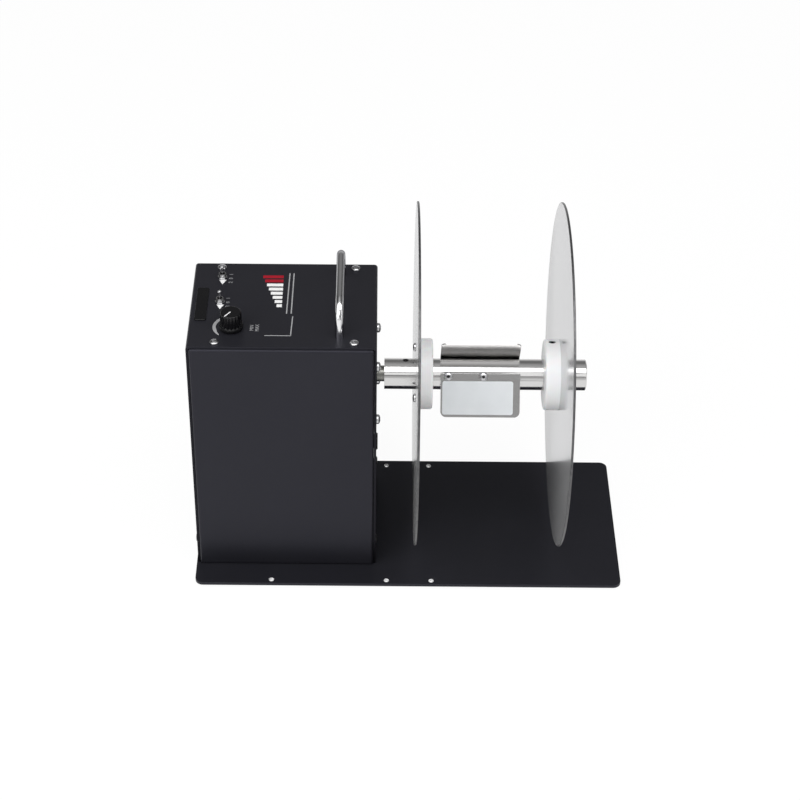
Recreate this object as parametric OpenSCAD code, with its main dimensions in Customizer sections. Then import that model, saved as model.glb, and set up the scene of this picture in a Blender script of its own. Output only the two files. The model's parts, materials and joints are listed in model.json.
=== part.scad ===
// Label rewinder. A geared motor in a sheet-metal housing turns a horizontal spindle. Three leaf fins on the
// spindle grip the core of a label roll, and two round flanges guide its edges. The outer flange slides along
// the spindle and comes off its end, so that a wound roll can be taken away.
// Frame: the origin lies on the bench, below the spindle axis and at the middle of the base plate's width.
// +X runs along the spindle away from the housing, +Y to the back and +Z up. All sizes are in millimetres.

/* [Base plate] */
// Width of the base plate, along the spindle
plate_w = 380; // [370:1:460]
// Depth of the base plate, front to back
plate_d = 173; // [160:1:220]
// How far the middle of the plate lies in front of the spindle axis
plate_forward = 2; // [0:0.5:5]
// Thickness of the base plate
plate_t = 3; // [2.5:0.5:6]
// Radius of the plate's corners in plan
plate_corner_r = 7; // [3:1:15]
// Diameter of the holes for bench screws
bench_hole_d = 4.5; // [3.5:0.1:6]
// Distance of the front bench holes from the front edge
bench_hole_front = 4.5; // [4:0.5:8]
// Distance of the back bench holes from the back edge
bench_hole_back = 7; // [4:0.5:8]
// Distance between the two columns of holes beside the inner flange
bench_hole_pitch = 40; // [30:1:60]
// Place of the middle of these two columns, from the middle of the plate
bench_hole_x = 0.5; // [-5:0.5:10]
// Distance of the third column from that middle, towards the housing
bench_hole_far = 122.5; // [90:0.5:150]
// Diameter of a rubber foot
foot_d = 16; // [10:1:24]
// Height of a rubber foot
foot_h = 2.5; // [1.5:0.5:6]
// Distance of the feet from the plate's edges
foot_inset = 18; // [14:1:30]

/* [Housing] */
// Width of the housing, along the spindle
case_w = 159.5; // [152:0.5:175]
// Depth of the housing over its front and rear panels
case_d = 127; // [122:1:150]
// Height of the housing above the base plate
case_h = 240; // [232:1:280]
// Distance of the left wall from the plate's left edge
case_inset = 1.2; // [1:0.1:6]
// Thickness of the cover's sheet
sheet_t = 2; // [1.5:0.1:2.5]
// Outside radius of the bends along the cover's top edges
cover_bend_r = 3; // [2.6:0.1:6]
// Thickness of the front and rear panels
panel_t = 1.5; // [1:0.1:2]
// Outside radius of the bends around a panel
panel_bend_r = 2.2; // [2.1:0.1:4]
// Depth of the flanges folded back around a panel
panel_flange = 13.5; // [13:0.5:15]
// How far the front panel stands out in front of the cover's edge
front_proud = 2.4; // [0:0.1:3]
// How far the rear panel stands out behind the cover's edge
rear_proud = 1; // [0:0.1:3]
// Clearance between a panel and the cover
panel_gap = 0.3; // [0.2:0.05:0.8]

/* [Screws] */
// Thread diameter of the sheet-metal screws
m4_d = 4; // [3.5:0.1:4.5]
// Head diameter of the sheet-metal screws
m4_head_d = 7.6; // [7:0.1:9]
// Head height of the sheet-metal screws
m4_head_h = 2.4; // [1.8:0.1:3]
// Head height of the low side screws
side_head_h = 1.2; // [1:0.1:1.9]
// Distance of the top screws from the left wall
top_screw_left = 23.8; // [18:0.1:30]
// Distance of the top screws from the right wall
top_screw_right = 19; // [14:0.5:24]
// Distance of the front top screws from the front panel's face
top_screw_front = 8.5; // [8:0.5:10]
// Distance of the back top screws from the rear panel's face
top_screw_back = 8; // [7:0.5:10]
// Distance of the side and base screws from the panels' faces
low_screw_in = 8.5; // [8:0.5:9]
// Height of the side screws above the base plate
side_screw_z = 24.5; // [18:0.5:40]
// Diameter of a press nut
press_nut_d = 7; // [6.5:0.1:8]
// Height of a press nut
press_nut_h = 4; // [3:0.5:6]

/* [Handle] */
// Diameter of the handle's rod
handle_d = 7.2; // [6:0.1:10]
// Gap between the handle's screw heads and the panels' flanges
handle_screw_gap = 0.2; // [0.2:0.1:12]
// Height of the handle above the cover
handle_h = 33.2; // [30:0.1:50]
// Radius of the handle's bends, at the middle of the rod
handle_bend_r = 16.5; // [6:0.5:18]
// Distance of the handle from the right wall
handle_in = 31.5; // [22:0.5:50]
// Length of the handle screws in the legs
handle_screw_l = 10; // [6:1:14]

/* [Controls] */
// Distance of the toggles from the left wall
toggle_in = 25; // [18:0.5:26]
// Place of the rear toggle behind the spindle axis
toggle_rear_y = 40; // [34:0.5:41]
// Place of the front toggle behind the spindle axis
toggle_front_y = 3; // [0:0.5:12]
// Outside diameter of a toggle's bushing
toggle_bush_d = 6.2; // [5.8:0.1:6.6]
// Height of a toggle's bushing above the cover
toggle_bush_h = 5; // [4:0.5:6]
// Height of the ball end of a toggle lever above the cover
toggle_lever_h = 11; // [10:0.5:16]
// Diameter of the ball end of a toggle lever
toggle_tip_d = 3.6; // [3:0.1:4.5]
// Diameter of the ball that a toggle lever turns on
toggle_pivot_d = 4.4; // [4:0.1:4.6]
// Height of that ball's middle above the cover
toggle_pivot_h = 1.2; // [0.8:0.1:1.6]
// Width, length and depth of a toggle's body below the cover
toggle_body = [8, 13, 11];
// Width of a toggle's nut across its flats
toggle_nut_af = 7.5; // [7.5:0.1:9]
// Thickness of a panel nut
control_nut_h = 2; // [1.5:0.1:2.5]
// Distance of the torque knob from the left wall
knob_in = 36.8; // [33:0.1:45]
// Place of the torque knob behind the spindle axis
knob_y = -34; // [-38:0.5:-20]
// Diameter of the torque knob's skirt
knob_d = 20.4; // [18:0.1:24]
// Diameter of the torque knob above its skirt
knob_grip_d = 18.6; // [16.5:0.1:20]
// Height of the torque knob
knob_h = 15.5; // [14:0.5:20]
// Height of the torque knob's skirt
knob_skirt_h = 3; // [2:0.5:4]
// Gap between the cover and the torque knob
knob_lift = 1.2; // [1:0.1:2.5]
// Number of grip flutes around the torque knob
knob_flutes = 18; // [12:1:24]
// Direction of the knob's pointer line, from +X towards +Y
pointer_angle = 235; // [230:1:250]
// Diameter of the potentiometer's shaft
pot_shaft_d = 6; // [5.5:0.1:6.4]
// Outside diameter of the potentiometer's bushing
pot_bush_d = 7.6; // [7.2:0.1:8.4]
// Height of the potentiometer's bushing above the cover
pot_bush_h = 5; // [4:0.5:6]
// Width of the potentiometer's nut across its flats
pot_nut_af = 10; // [9.6:0.1:11]
// Diameter of the potentiometer's body
pot_body_d = 16; // [14:0.5:20]
// Depth of the potentiometer's body below the cover
pot_body_h = 9; // [7:0.5:14]
// Width of the raised plate beside the left edge
nameplate_w = 10; // [8:0.1:14]
// Length of the raised plate
nameplate_l = 47.5; // [30:0.5:60]
// Thickness of the raised plate
nameplate_t = 1; // [0.6:0.1:2]
// Distance of the raised plate's middle from the left wall
nameplate_in = 9.6; // [8:0.1:12]
// Place of the raised plate's middle behind the spindle axis
nameplate_y = 0.2; // [-5:0.1:15]

/* [Spindle] */
// Height of the spindle axis above the base plate
axis_h = 168; // [160:1:180]
// Diameter of the spindle
spindle_d = 27.4; // [24:0.1:30]
// Length of the spindle
spindle_l = 176; // [172:1:220]
// Gap between the housing and the spindle
spindle_gap = 6.5; // [5:0.5:10]
// Diameter of the drive shaft
shaft_d = 14; // [12:0.1:15]
// Depth of the spindle's bore for the drive shaft
spindle_bore = 40; // [30:1:46]
// Distance of the spindle's set screws from its end
spindle_screw_in = 18.5; // [12:0.5:20]
// Direction of the visible set screw around the axis, from +Y towards +Z
spindle_screw_angle = 84; // [60:1:100]
// Diameter of the spindle's set screws
grub_d = 5; // [4:0.1:6]
// Length of the spindle's set screws
grub_l = 4.5; // [3:0.1:5]

/* [Flanges] */
// Diameter of the flanges
flange_d = 300; // [250:1:310]
// Thickness of the flanges
flange_t = 2; // [1.5:0.1:3]
// Distance of the inner flange's roll side from the housing
flange_in = 35.5; // [33:0.5:45]
// Distance between the flanges' roll sides
flange_gap = 123; // [116:1:150]
// Diameter of a hub
hub_d = 62; // [56:1:80]
// Length of a hub
hub_l = 13; // [10:0.5:16]
// Radius of a hub's rounded edge
hub_edge_r = 2; // [0.5:0.1:4]
// Radius of the circle of the flange screws
flange_screw_r = 25.5; // [22:0.1:26]
// Direction of the first flange screw around the axis
flange_screw_angle = 78.5; // [60:0.5:100]
// Direction of the outer hub's set screw around the axis
hub_screw_angle = 76; // [60:1:100]
// Diameter of the hubs' set screws
hub_grub_d = 6.5; // [5:0.1:8]
// How deep the hubs' set screws are sunk below the surface
hub_screw_sink = 0.7; // [0.3:0.1:6]

/* [Core fins] */
// Diameter over the fins' tips, a little more than the inside of a roll core
core_d = 77.5; // [66:0.5:90]
// Length of a fin along the spindle
fin_l = 69; // [60:1:74]
// Thickness of a fin
fin_t = 1; // [0.6:0.1:2]
// Gap between the inner hub and the fins
fin_gap = 7; // [4:0.5:10]
// Distance of a fin's inner edge from its screws
fin_back = 2.6; // [2.4:0.1:3]
// Depth of the flat that a fin is seated on
fin_seat = 0.5; // [0.3:0.1:0.8]
// Radius of a fin's outer corners
fin_corner_r = 5; // [2:0.5:10]
// Direction of the front fin's seat around the axis
fin_angle = 151.5; // [140:0.5:156]
// Distance of the first screw from the fin's end
fin_screw_in = 6.5; // [5:0.5:10]
// Distance between a fin's two screws
fin_screw_pitch = 30.5; // [24:0.5:40]
// Length of a fin screw below the fin
fin_screw_l = 4.5; // [3.5:0.5:5]
// Length, width and thickness of the sticker on the front fin
sticker = [61.5, 29.5, 0.2];
// Distance of the sticker from the fin's end
sticker_in = 1.5; // [1:0.1:4]
// Distance of the sticker from the fin's screw line
sticker_out = 4.2; // [4:0.1:5]

/* [Drive] */
// Tooth size of the gears, as pitch diameter over number of teeth
gear_module = 1; // [0.9:0.05:1.05]
// Teeth of the gear on the drive shaft
output_teeth = 44; // [40:1:46]
// Teeth of the cluster gear's pinion
cluster_pinion_teeth = 16; // [15:1:18]
// Teeth of the cluster gear's wheel
cluster_teeth = 45; // [40:1:46]
// Teeth of the motor's pinion
motor_teeth = 15; // [14:1:18]
// Width of the output gear's teeth
output_face = 10; // [8:0.5:12]
// Width of the cluster wheel's teeth
cluster_face = 8; // [6:0.5:10]
// Distance between the mounting screws, across and up
mount_pitch = 57; // [57:0.5:62]
// Thread diameter of the mounting screws
mount_screw_d = 5; // [4.5:0.1:5.2]
// Head diameter of the mounting screws
mount_head_d = 8.6; // [8:0.1:10]
// Head height of the mounting screws
mount_head_h = 3.4; // [2.4:0.1:4]
// Width of the drive's plates
drive_w = 72; // [72:1:80]
// Thickness of the drive's front plate
front_plate_t = 8; // [8:0.5:12]
// Thickness of the drive's rear plate
rear_plate_t = 6; // [4:0.5:8]
// Length of the bearing carrier
carrier_l = 30; // [26:1:34]
// Outside diameter of a shaft bearing
bearing_d = 28; // [26:0.5:30]
// Width of a shaft bearing
bearing_w = 8; // [6:0.5:9]
// Diameter of the drive's pillars
pillar_d = 8; // [7:0.1:8]
// Diameter of the cluster gear's axle
axle_d = 6; // [5:0.1:7]
// Diameter of the motor
motor_d = 60; // [54:1:66]
// Gap between the motor's end and the left wall
motor_gap = 13.8; // [8:0.1:22]
// Length of the motor that its wound core doesn't take
motor_ends = 38; // [36:0.5:42]
// Length of the motor's commutator
commutator_l = 12; // [8:0.5:13]
// Diameter of the motor's shaft
motor_shaft_d = 6; // [5:0.1:6.5]
// Thickness of the motor can's wall
motor_wall = 3; // [2:0.5:4]
// Size of the key in the output gear
key_size = 5; // [4:0.1:5]

/* [Electrics] */
// Length, depth and thickness of the control board
board = [110, 78, 1.6];
// Height of the board above the base plate
board_lift = 10; // [6:0.5:16]
// Width, depth and height of the heat sink
heat_sink_size = [24, 40, 22];
// Thickness of the heat sink's foot and fins
heat_sink_t = 2; // [1.5:0.1:3]
// Diameter of a capacitor
capacitor_d = 16; // [10:0.5:18]
// Height of a capacitor
capacitor_h = 25; // [15:1:27]
// Width, depth and height of the terminal block
terminal_block = [9, 40, 12];
// Distance of the board's screws from its edges
board_screw_in = 5; // [4:0.5:8]
// Thread diameter of the board's screws
m3_d = 3; // [2.5:0.1:3.5]
// Head diameter of the board's screws
m3_head_d = 5.6; // [5:0.1:6.5]
// Head height of the board's screws
m3_head_h = 2; // [1.5:0.1:2.5]
// Diameter of the power jack's body
jack_d = 12; // [10:0.5:14]
// Length of the power jack behind the panel
jack_l = 14; // [10:0.5:18]
// Height of the power jack above the base plate
jack_z = 30; // [26:1:60]
// Distance of the power jack from the left wall
jack_in = 45; // [36:1:70]
// Diameter of the round plug's head
plug_d = 15.6; // [14:0.1:18]
// Thickness of the round plug's head
plug_t = 1.2; // [0.8:0.1:2]
// Height of the round plug above the base plate
plug_z = 92; // [70:1:100]

/* [Hidden] */
$fn = 48;
// Radial clearance of parts that turn or slide on each other
run_gap = 0.05;
// Radial clearance of parts that are fixed in each other
fit_gap = 0.03;
// Radial clearance of a screw in a through hole
hole_gap = 0.25;
// Overlap that makes a cut go cleanly through a face
cut = 1;

plate_top = foot_h + plate_t;
plate_mid_y = -plate_forward;
axis_z = plate_top + axis_h;
case_x0 = -plate_w / 2 + case_inset;
case_x1 = case_x0 + case_w;
case_top = plate_top + case_h;
case_mid_x = (case_x0 + case_x1) / 2;
wall_in = case_x1 - sheet_t;
panel_face = case_d / 2;
cover_front = panel_face - front_proud;
cover_back = panel_face - rear_proud;
panel_x0 = case_x0 + sheet_t + panel_gap;
panel_w = case_w - 2 * (sheet_t + panel_gap);
panel_h = case_h - sheet_t;
top_screw_x = [case_x0 + top_screw_left, case_x1 - top_screw_right];
top_screw_y = [-panel_face + top_screw_front, panel_face - top_screw_back];
low_screw_y = [-panel_face + low_screw_in, panel_face - low_screw_in];
side_screw_height = plate_top + side_screw_z;
bench_cols = [bench_hole_x - bench_hole_far, bench_hole_x - bench_hole_pitch / 2,
    bench_hole_x + bench_hole_pitch / 2];
bench_rows = [plate_mid_y - plate_d / 2 + bench_hole_front, plate_mid_y + plate_d / 2 - bench_hole_back];
base_head_h = plate_t - 0.5;
handle_x = case_x1 - handle_in;
handle_pitch = 2 * (panel_face - panel_flange - m4_head_d / 2 - handle_screw_gap);
toggle_x = case_x0 + toggle_in;
knob_x = case_x0 + knob_in;
knob_z0 = case_top + knob_lift;
knob_recess_h = pot_bush_h - knob_lift + 0.8;
knob_recess_d = pot_nut_af / cos(30) + 1.6;
pot_shaft_top = knob_z0 + knob_h - 2.5;
spindle_x0 = case_x1 + spindle_gap;
spindle_r = spindle_d / 2;
inner_face = case_x1 + flange_in;
outer_face = inner_face + flange_gap;
fin_x0 = inner_face + hub_l + fin_gap;
fin_seat_r = spindle_r - fin_seat;
fin_reach = sqrt(pow(core_d / 2, 2) - pow(fin_seat_r + fin_t, 2));
fin_screw_x = [fin_x0 + fin_screw_in, fin_x0 + fin_screw_in + fin_screw_pitch];
fin_angles = [fin_angle, fin_angle - 120, fin_angle + 120];
hub_screw_l = hub_d / 2 - spindle_r - 2 * run_gap - hub_screw_sink;
button_head_h = 2.2;
// The outer flange's screws stand between the inner flange's, clear of the hub's set screw
outer_screw_turn = 60;

// Gear train: the output gear turns with the spindle, the cluster gear turns on a fixed axle below it, and the
// motor stands behind. Depths are measured from the right wall's inner face, into the housing.
tooth_tip = 0.9 * gear_module;
tooth_root = 1.25 * gear_module;
tooth_play = 0.08 * gear_module;
output_to_cluster = gear_module * (output_teeth + cluster_pinion_teeth) / 2;
cluster_to_motor = gear_module * (cluster_teeth + motor_teeth) / 2;
cluster_z = -output_to_cluster;
motor_z = cluster_z + cluster_to_motor;
output_at = carrier_l + 0.5;
ring_at = output_at + output_face;
ring_t = 1.2;
ring_d = shaft_d + 5;
shaft_end_at = ring_at + ring_t + 1;
wheel_at = shaft_end_at + 2;
rear_plate_at = wheel_at + cluster_face + 4;
motor_at = rear_plate_at + rear_plate_t;
cluster_float = 0.25;
cluster_sleeve_d = axle_d + 4;
drive_up = mount_pitch / 2 + 7.5;
drive_down = max(output_to_cluster + axle_d / 2 + 5, mount_pitch / 2 + 7.5);
carrier_d = bearing_d + 6;
shaft_collar_d = shaft_d + 4;
pilot_d = 20;
motor_front_t = 5;
motor_cap_t = 6;
motor_l = case_w - 2 * sheet_t - motor_at - motor_gap;
motor_core_l = motor_l - motor_ends;
motor_core_d = motor_d - 2 * motor_wall - 11;
magnet_l = motor_core_l + 4;
magnet_at = motor_front_t + 4;
core_at = magnet_at + 2;
commutator_at = core_at + motor_core_l + 2;
motor_screw_pos = [[-18, 10], [18, 10]];
pillar_l = rear_plate_at - front_plate_t;
pillar_screw_l = 10;

// Radius of the sphere that gives a dome of this height over a head of this diameter
function dome_radius(d, rise) = (pow(d / 2, 2) + rise * rise) / (2 * rise);

// Rectangle centred on the origin, with rounded corners
module rounded_rect(w, d, r) {
    square([w - 2 * r, d], center = true);
    square([w, d - 2 * r], center = true);
    for (x = [-1, 1], y = [-1, 1])
        translate([x * (w / 2 - r), y * (d / 2 - r)])
            circle(r);
}

// Rectangle from the origin whose two corners on the far side of y are rounded
module rounded_end(w, h, r) {
    square([w, h - r]);
    translate([r, 0])
        square([w - 2 * r, h]);
    for (x = [r, w - r])
        translate([x, h - r])
            circle(r);
}

// Screw with its head's seat at z = 0, the head above and the shank below
module screw(d, len, head_d, head_h) {
    rise = head_h * 0.6;
    ball = dome_radius(head_d, rise);
    intersection() {
        cylinder(h = head_h, d = head_d);
        translate([0, 0, head_h - ball])
            sphere(r = ball);
    }
    translate([0, 0, -len])
        cylinder(h = len, d = d);
}

// Button-head screw with a hexagonal socket
module button_screw(d, len, head_d, head_h) {
    difference() {
        screw(d, len, head_d, head_h);
        translate([0, 0, head_h * 0.45])
            cylinder(h = head_h, d = d * 0.72, $fn = 6);
    }
}

// Headless set screw from z = 0 up, with a hexagonal socket in its upper end
module grub(d, len) {
    difference() {
        cylinder(h = len, d = d);
        translate([0, 0, len * 0.5])
            cylinder(h = len, d = d * 0.55, $fn = 6);
    }
}

// Round bar along +X
module bar_x(x, len, d) {
    translate([x, 0, 0])
        rotate([0, 90, 0])
            cylinder(h = len, d = d);
}

// Puts something that is drawn about the X axis on the spindle axis
module on_axis() {
    translate([0, 0, axis_z])
        children();
}

// Puts something that is drawn along +Z on a radius of the X axis, at a direction from +Y towards +Z
module on_radius(angle, x, r) {
    rotate([angle, 0, 0])
        translate([x, r, 0])
            rotate([-90, 0, 0])
                children();
}

// Puts something at the four mounting screws around the spindle axis, with its +Z along +X
module at_mount_screws(x) {
    for (y = [-1, 1], z = [-1, 1])
        translate([x, y * mount_pitch / 2, axis_z + z * mount_pitch / 2])
            rotate([0, 90, 0])
                children();
}

// Puts something at the top screws, at the cover's top face
module at_top_screws() {
    for (x = top_screw_x, y = top_screw_y)
        translate([x, y, case_top])
            children();
}

// Puts something at the side screws, with its +Z pointing out of the wall
module at_side_screws() {
    for (y = low_screw_y) {
        translate([case_x0, y, side_screw_height])
            rotate([0, -90, 0])
                children();
        translate([case_x1, y, side_screw_height])
            rotate([0, 90, 0])
                children();
    }
}

// Puts something at the screws between the base plate and the panels, at the plate's top
module at_base_screws() {
    for (x = top_screw_x, y = low_screw_y)
        translate([x, y, plate_top])
            children();
}

// Puts something at the board's four fixing points, at the base plate's top
module at_board_corners() {
    for (x = [-1, 1], y = [-1, 1])
        translate([case_mid_x + x * (board[0] / 2 - board_screw_in), y * (board[1] / 2 - board_screw_in),
            plate_top])
            children();
}

// Puts something at the middle of each toggle, at the cover's top face
module at_toggle(y) {
    translate([toggle_x, y, case_top])
        children();
}

// Puts something at the middle of the torque knob, at the cover's top face
module at_knob() {
    translate([knob_x, knob_y, case_top])
        children();
}

// Involute tooth: polar angle of a flank at a radius, from the middle of the tooth
function involute(a) = tan(a) * 180 / PI - a;
function flank_angle(m, z, r) =
    let (pitch_r = m * z / 2, base_r = pitch_r * cos(20), at_r = max(r, base_r))
    90 / z - tooth_play / pitch_r * 180 / PI + involute(20) - involute(acos(base_r / at_r));
function gear_outline(m, z) =
    let (pitch_r = m * z / 2, base_r = pitch_r * cos(20), root_r = pitch_r - tooth_root,
        tip_r = pitch_r + tooth_tip, radii = [root_r, max(base_r, root_r + 0.02), pitch_r, tip_r])
    [for (tooth = [0 : z - 1], side = [-1, 1], step = [0 : 3])
        let (r = radii[side < 0 ? step : 3 - step], a = tooth * 360 / z + side * flank_angle(m, z, r))
        [r * cos(a), r * sin(a)]];

// Spur gear along +X from x, with a tooth (or a gap, with half_step) at the direction given
module spur(x, len, z, angle, half_step = false) {
    turn = angle + (half_step ? 180 / z : 0);
    translate([x, 0, 0])
        rotate([90, 0, 90])
            linear_extrude(len)
                rotate(turn)
                    polygon(gear_outline(gear_module, z));
}

// The flat steel plate that everything stands on
module base_plate() {
    color("#202124")
    difference() {
        translate([0, plate_mid_y, foot_h])
            linear_extrude(plate_t)
                rounded_rect(plate_w, plate_d, plate_corner_r);
        for (x = bench_cols, y = bench_rows)
            translate([x, y, foot_h - cut])
                cylinder(h = plate_t + 2 * cut, d = bench_hole_d);
        at_base_screws() {
            translate([0, 0, -plate_t - cut])
                cylinder(h = plate_t + 2 * cut, d = m4_d + 2 * hole_gap);
            translate([0, 0, -plate_t])
                cylinder(h = base_head_h, d1 = m4_head_d + 2 * fit_gap, d2 = m4_d + 2 * hole_gap);
        }
        at_board_corners()
            translate([0, 0, -plate_t - cut])
                cylinder(h = plate_t + 2 * cut, d = m3_d + 2 * fit_gap);
    }
}

// Low rubber pads under the plate's corners
module rubber_feet() {
    color("#1b1b1b")
    for (x = [-1, 1], y = [-1, 1])
        translate([x * (plate_w / 2 - foot_inset), plate_mid_y + y * (plate_d / 2 - foot_inset), 0])
            cylinder(h = foot_h, d = foot_d);
}

// Block with rounded edges around its front face, which looks along -Y
module panel_block(w, h, d, r) {
    intersection() {
        translate([0, d, 0])
            mirror([0, 1, 0])
                linear_extrude(h)
                    rounded_end(w, d, r);
        rotate([90, 0, 90])
            linear_extrude(w)
                translate([d, 0])
                    rotate(90)
                        rounded_end(h, d, r);
        translate([0, d, 0])
            rotate([90, 0, 0])
                linear_extrude(d)
                    rounded_end(w, h, r);
    }
}

// Shallow tray of sheet, open at the back, with holes for the cover's and the base's screws
module panel_tray() {
    difference() {
        translate([panel_x0, -panel_face, plate_top])
            difference() {
                panel_block(panel_w, panel_h, panel_flange, panel_bend_r);
                translate([panel_t, panel_t, panel_t])
                    panel_block(panel_w - 2 * panel_t, panel_h - 2 * panel_t, panel_flange,
                        panel_bend_r - panel_t);
            }
    }
}

// Holes through the panels' flanges for the screws of the cover and the base plate
module flange_holes() {
    hole_d = m4_d + 2 * hole_gap;
    at_top_screws()
        translate([0, 0, -sheet_t - panel_t - cut])
            cylinder(h = panel_t + 2 * cut, d = hole_d);
    at_base_screws()
        translate([0, 0, -cut])
            cylinder(h = panel_t + 2 * cut, d = hole_d);
    at_side_screws()
        translate([0, 0, -sheet_t - panel_gap - panel_t - cut])
            cylinder(h = panel_t + 2 * cut, d = hole_d);
}

module front_panel() {
    color("#2a2b2f")
    difference() {
        panel_tray();
        flange_holes();
    }
}

module rear_panel() {
    color("#2a2b2f")
    difference() {
        mirror([0, 1, 0])
            panel_tray();
        flange_holes();
        translate([case_x0 + jack_in, panel_face - panel_t - cut, plate_top + jack_z])
            rotate([-90, 0, 0])
                cylinder(h = panel_t + 2 * cut, d = jack_d - 2);
    }
}

// Inverted U of sheet: the top and the two side walls in one
module cover() {
    color("#26272b")
    difference() {
        translate([case_x0, cover_back, plate_top])
            rotate([90, 0, 0])
                linear_extrude(cover_front + cover_back)
                    difference() {
                        rounded_end(case_w, case_h, cover_bend_r);
                        translate([sheet_t, -cut])
                            rounded_end(case_w - 2 * sheet_t, case_h - sheet_t + cut, cover_bend_r - sheet_t);
                    }
        at_top_screws()
            translate([0, 0, -sheet_t - cut])
                cylinder(h = sheet_t + 2 * cut, d = m4_d + 2 * hole_gap);
        at_side_screws()
            translate([0, 0, -sheet_t - cut])
                cylinder(h = sheet_t + 2 * cut, d = m4_d + 2 * hole_gap);
        for (y = [-1, 1])
            translate([handle_x, y * handle_pitch / 2, case_top - sheet_t - cut])
                cylinder(h = sheet_t + 2 * cut, d = m4_d + 2 * hole_gap);
        for (y = [toggle_front_y, toggle_rear_y])
            at_toggle(y)
                translate([0, 0, -sheet_t - cut])
                    cylinder(h = sheet_t + 2 * cut, d = toggle_bush_d + 2 * fit_gap);
        at_knob()
            translate([0, 0, -sheet_t - cut])
                cylinder(h = sheet_t + 2 * cut, d = pot_bush_d + 2 * fit_gap);
        at_mount_screws(wall_in - cut)
            cylinder(h = sheet_t + 2 * cut, d = mount_screw_d + 2 * hole_gap);
        on_axis()
            bar_x(wall_in - cut, sheet_t + 2 * cut, shaft_d + 2);
        translate([wall_in - cut, 0, plate_top + plug_z])
            rotate([0, 90, 0])
                cylinder(h = sheet_t + 2 * cut, d = plug_d - 3);
    }
}

module cover_screws() {
    color("silver")
    at_top_screws()
        screw(m4_d, sheet_t + panel_t + press_nut_h, m4_head_d, m4_head_h);
}

module side_screws() {
    color("#18181a")
    at_side_screws()
        screw(m4_d, sheet_t + panel_gap + panel_t + press_nut_h, m4_head_d, side_head_h);
}

// Countersunk screws that hold the panels down on the base plate, put in from below
module base_screws() {
    color("#3a3b3e")
    at_base_screws() {
        translate([0, 0, -plate_t])
            cylinder(h = base_head_h, d1 = m4_head_d, d2 = m4_d);
        translate([0, 0, -plate_t])
            cylinder(h = plate_t + panel_t + press_nut_h, d = m4_d);
    }
}

// Nuts pressed into the panels' flanges, for the cover's and the base's screws
module press_nuts() {
    color("#8d8f92")
    difference() {
        union() {
            at_top_screws()
                translate([0, 0, -sheet_t - panel_t - press_nut_h])
                    cylinder(h = press_nut_h, d = press_nut_d);
            at_base_screws()
                translate([0, 0, panel_t])
                    cylinder(h = press_nut_h, d = press_nut_d);
            at_side_screws()
                translate([0, 0, -sheet_t - panel_gap - panel_t - press_nut_h])
                    cylinder(h = press_nut_h, d = press_nut_d);
        }
        at_top_screws()
            translate([0, 0, -sheet_t - panel_t - press_nut_h - cut])
                cylinder(h = press_nut_h + 2 * cut, d = m4_d + 2 * fit_gap);
        at_base_screws()
            translate([0, 0, panel_t - cut])
                cylinder(h = press_nut_h + 2 * cut, d = m4_d + 2 * fit_gap);
        at_side_screws()
            translate([0, 0, -sheet_t - panel_gap - panel_t - press_nut_h - cut])
                cylinder(h = press_nut_h + 2 * cut, d = m4_d + 2 * fit_gap);
    }
}

// Bow handle of round rod: two legs, two bends and a straight grip
module handle() {
    grip_z = case_top + handle_h - handle_d / 2;
    color("gainsboro")
    difference() {
        union() {
            for (y = [-1, 1]) {
                translate([handle_x, y * handle_pitch / 2, case_top])
                    cylinder(h = handle_h - handle_d / 2 - handle_bend_r, d = handle_d);
                translate([handle_x, y * (handle_pitch / 2 - handle_bend_r), grip_z - handle_bend_r])
                    rotate([90, 0, y * 90])
                        rotate_extrude(angle = 90)
                            translate([handle_bend_r, 0])
                                circle(d = handle_d);
            }
            translate([handle_x, handle_pitch / 2 - handle_bend_r, grip_z])
                rotate([90, 0, 0])
                    cylinder(h = handle_pitch - 2 * handle_bend_r, d = handle_d);
        }
        for (y = [-1, 1])
            translate([handle_x, y * handle_pitch / 2, case_top - cut])
                cylinder(h = handle_screw_l + 2 * cut, d = m4_d + 2 * fit_gap);
    }
}

module handle_screws() {
    color("#8d8f92")
    for (y = [-1, 1])
        translate([handle_x, y * handle_pitch / 2, case_top - sheet_t])
            rotate([180, 0, 0])
                screw(m4_d, sheet_t + handle_screw_l, m4_head_d, m4_head_h);
}

// Bare raised plate on the cover
module nameplate() {
    color("#141416")
    translate([case_x0 + nameplate_in, nameplate_y, case_top])
        linear_extrude(nameplate_t)
            rounded_rect(nameplate_w, nameplate_l, 1.5);
}

// Snap-in plug that closes a spare hole in the right wall
module hole_plug() {
    color("#151517")
    translate([case_x1, 0, plate_top + plug_z])
        rotate([0, 90, 0]) {
            cylinder(h = plug_t, d1 = plug_d, d2 = plug_d - 1);
            difference() {
                translate([0, 0, -sheet_t - 4])
                    cylinder(h = sheet_t + 4, d = plug_d - 3 - 2 * fit_gap);
                translate([0, 0, -sheet_t - 4 - cut])
                    cylinder(h = sheet_t + 4 + cut, d = plug_d - 6);
            }
        }
}

// Low-voltage jack in the rear panel, with its ring nut outside
module power_jack() {
    color("#1c1c1e")
    translate([case_x0 + jack_in, panel_face, plate_top + jack_z])
        rotate([-90, 0, 0])
            difference() {
                union() {
                    cylinder(h = 2.4, d = jack_d + 2);
                    translate([0, 0, -panel_t])
                        cylinder(h = panel_t, d = jack_d - 2 - 2 * fit_gap);
                    translate([0, 0, -jack_l])
                        cylinder(h = jack_l - panel_t, d = jack_d);
                }
                translate([0, 0, -jack_l + 3])
                    difference() {
                        cylinder(h = jack_l + 3, d = 6.4);
                        cylinder(h = jack_l - 3, d = 2);
                    }
            }
}

// Outline of the drive's plates, with y across and z up
module drive_outline() {
    translate([0, (drive_up - drive_down) / 2])
        rounded_rect(drive_w, drive_up + drive_down, 5);
}

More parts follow.
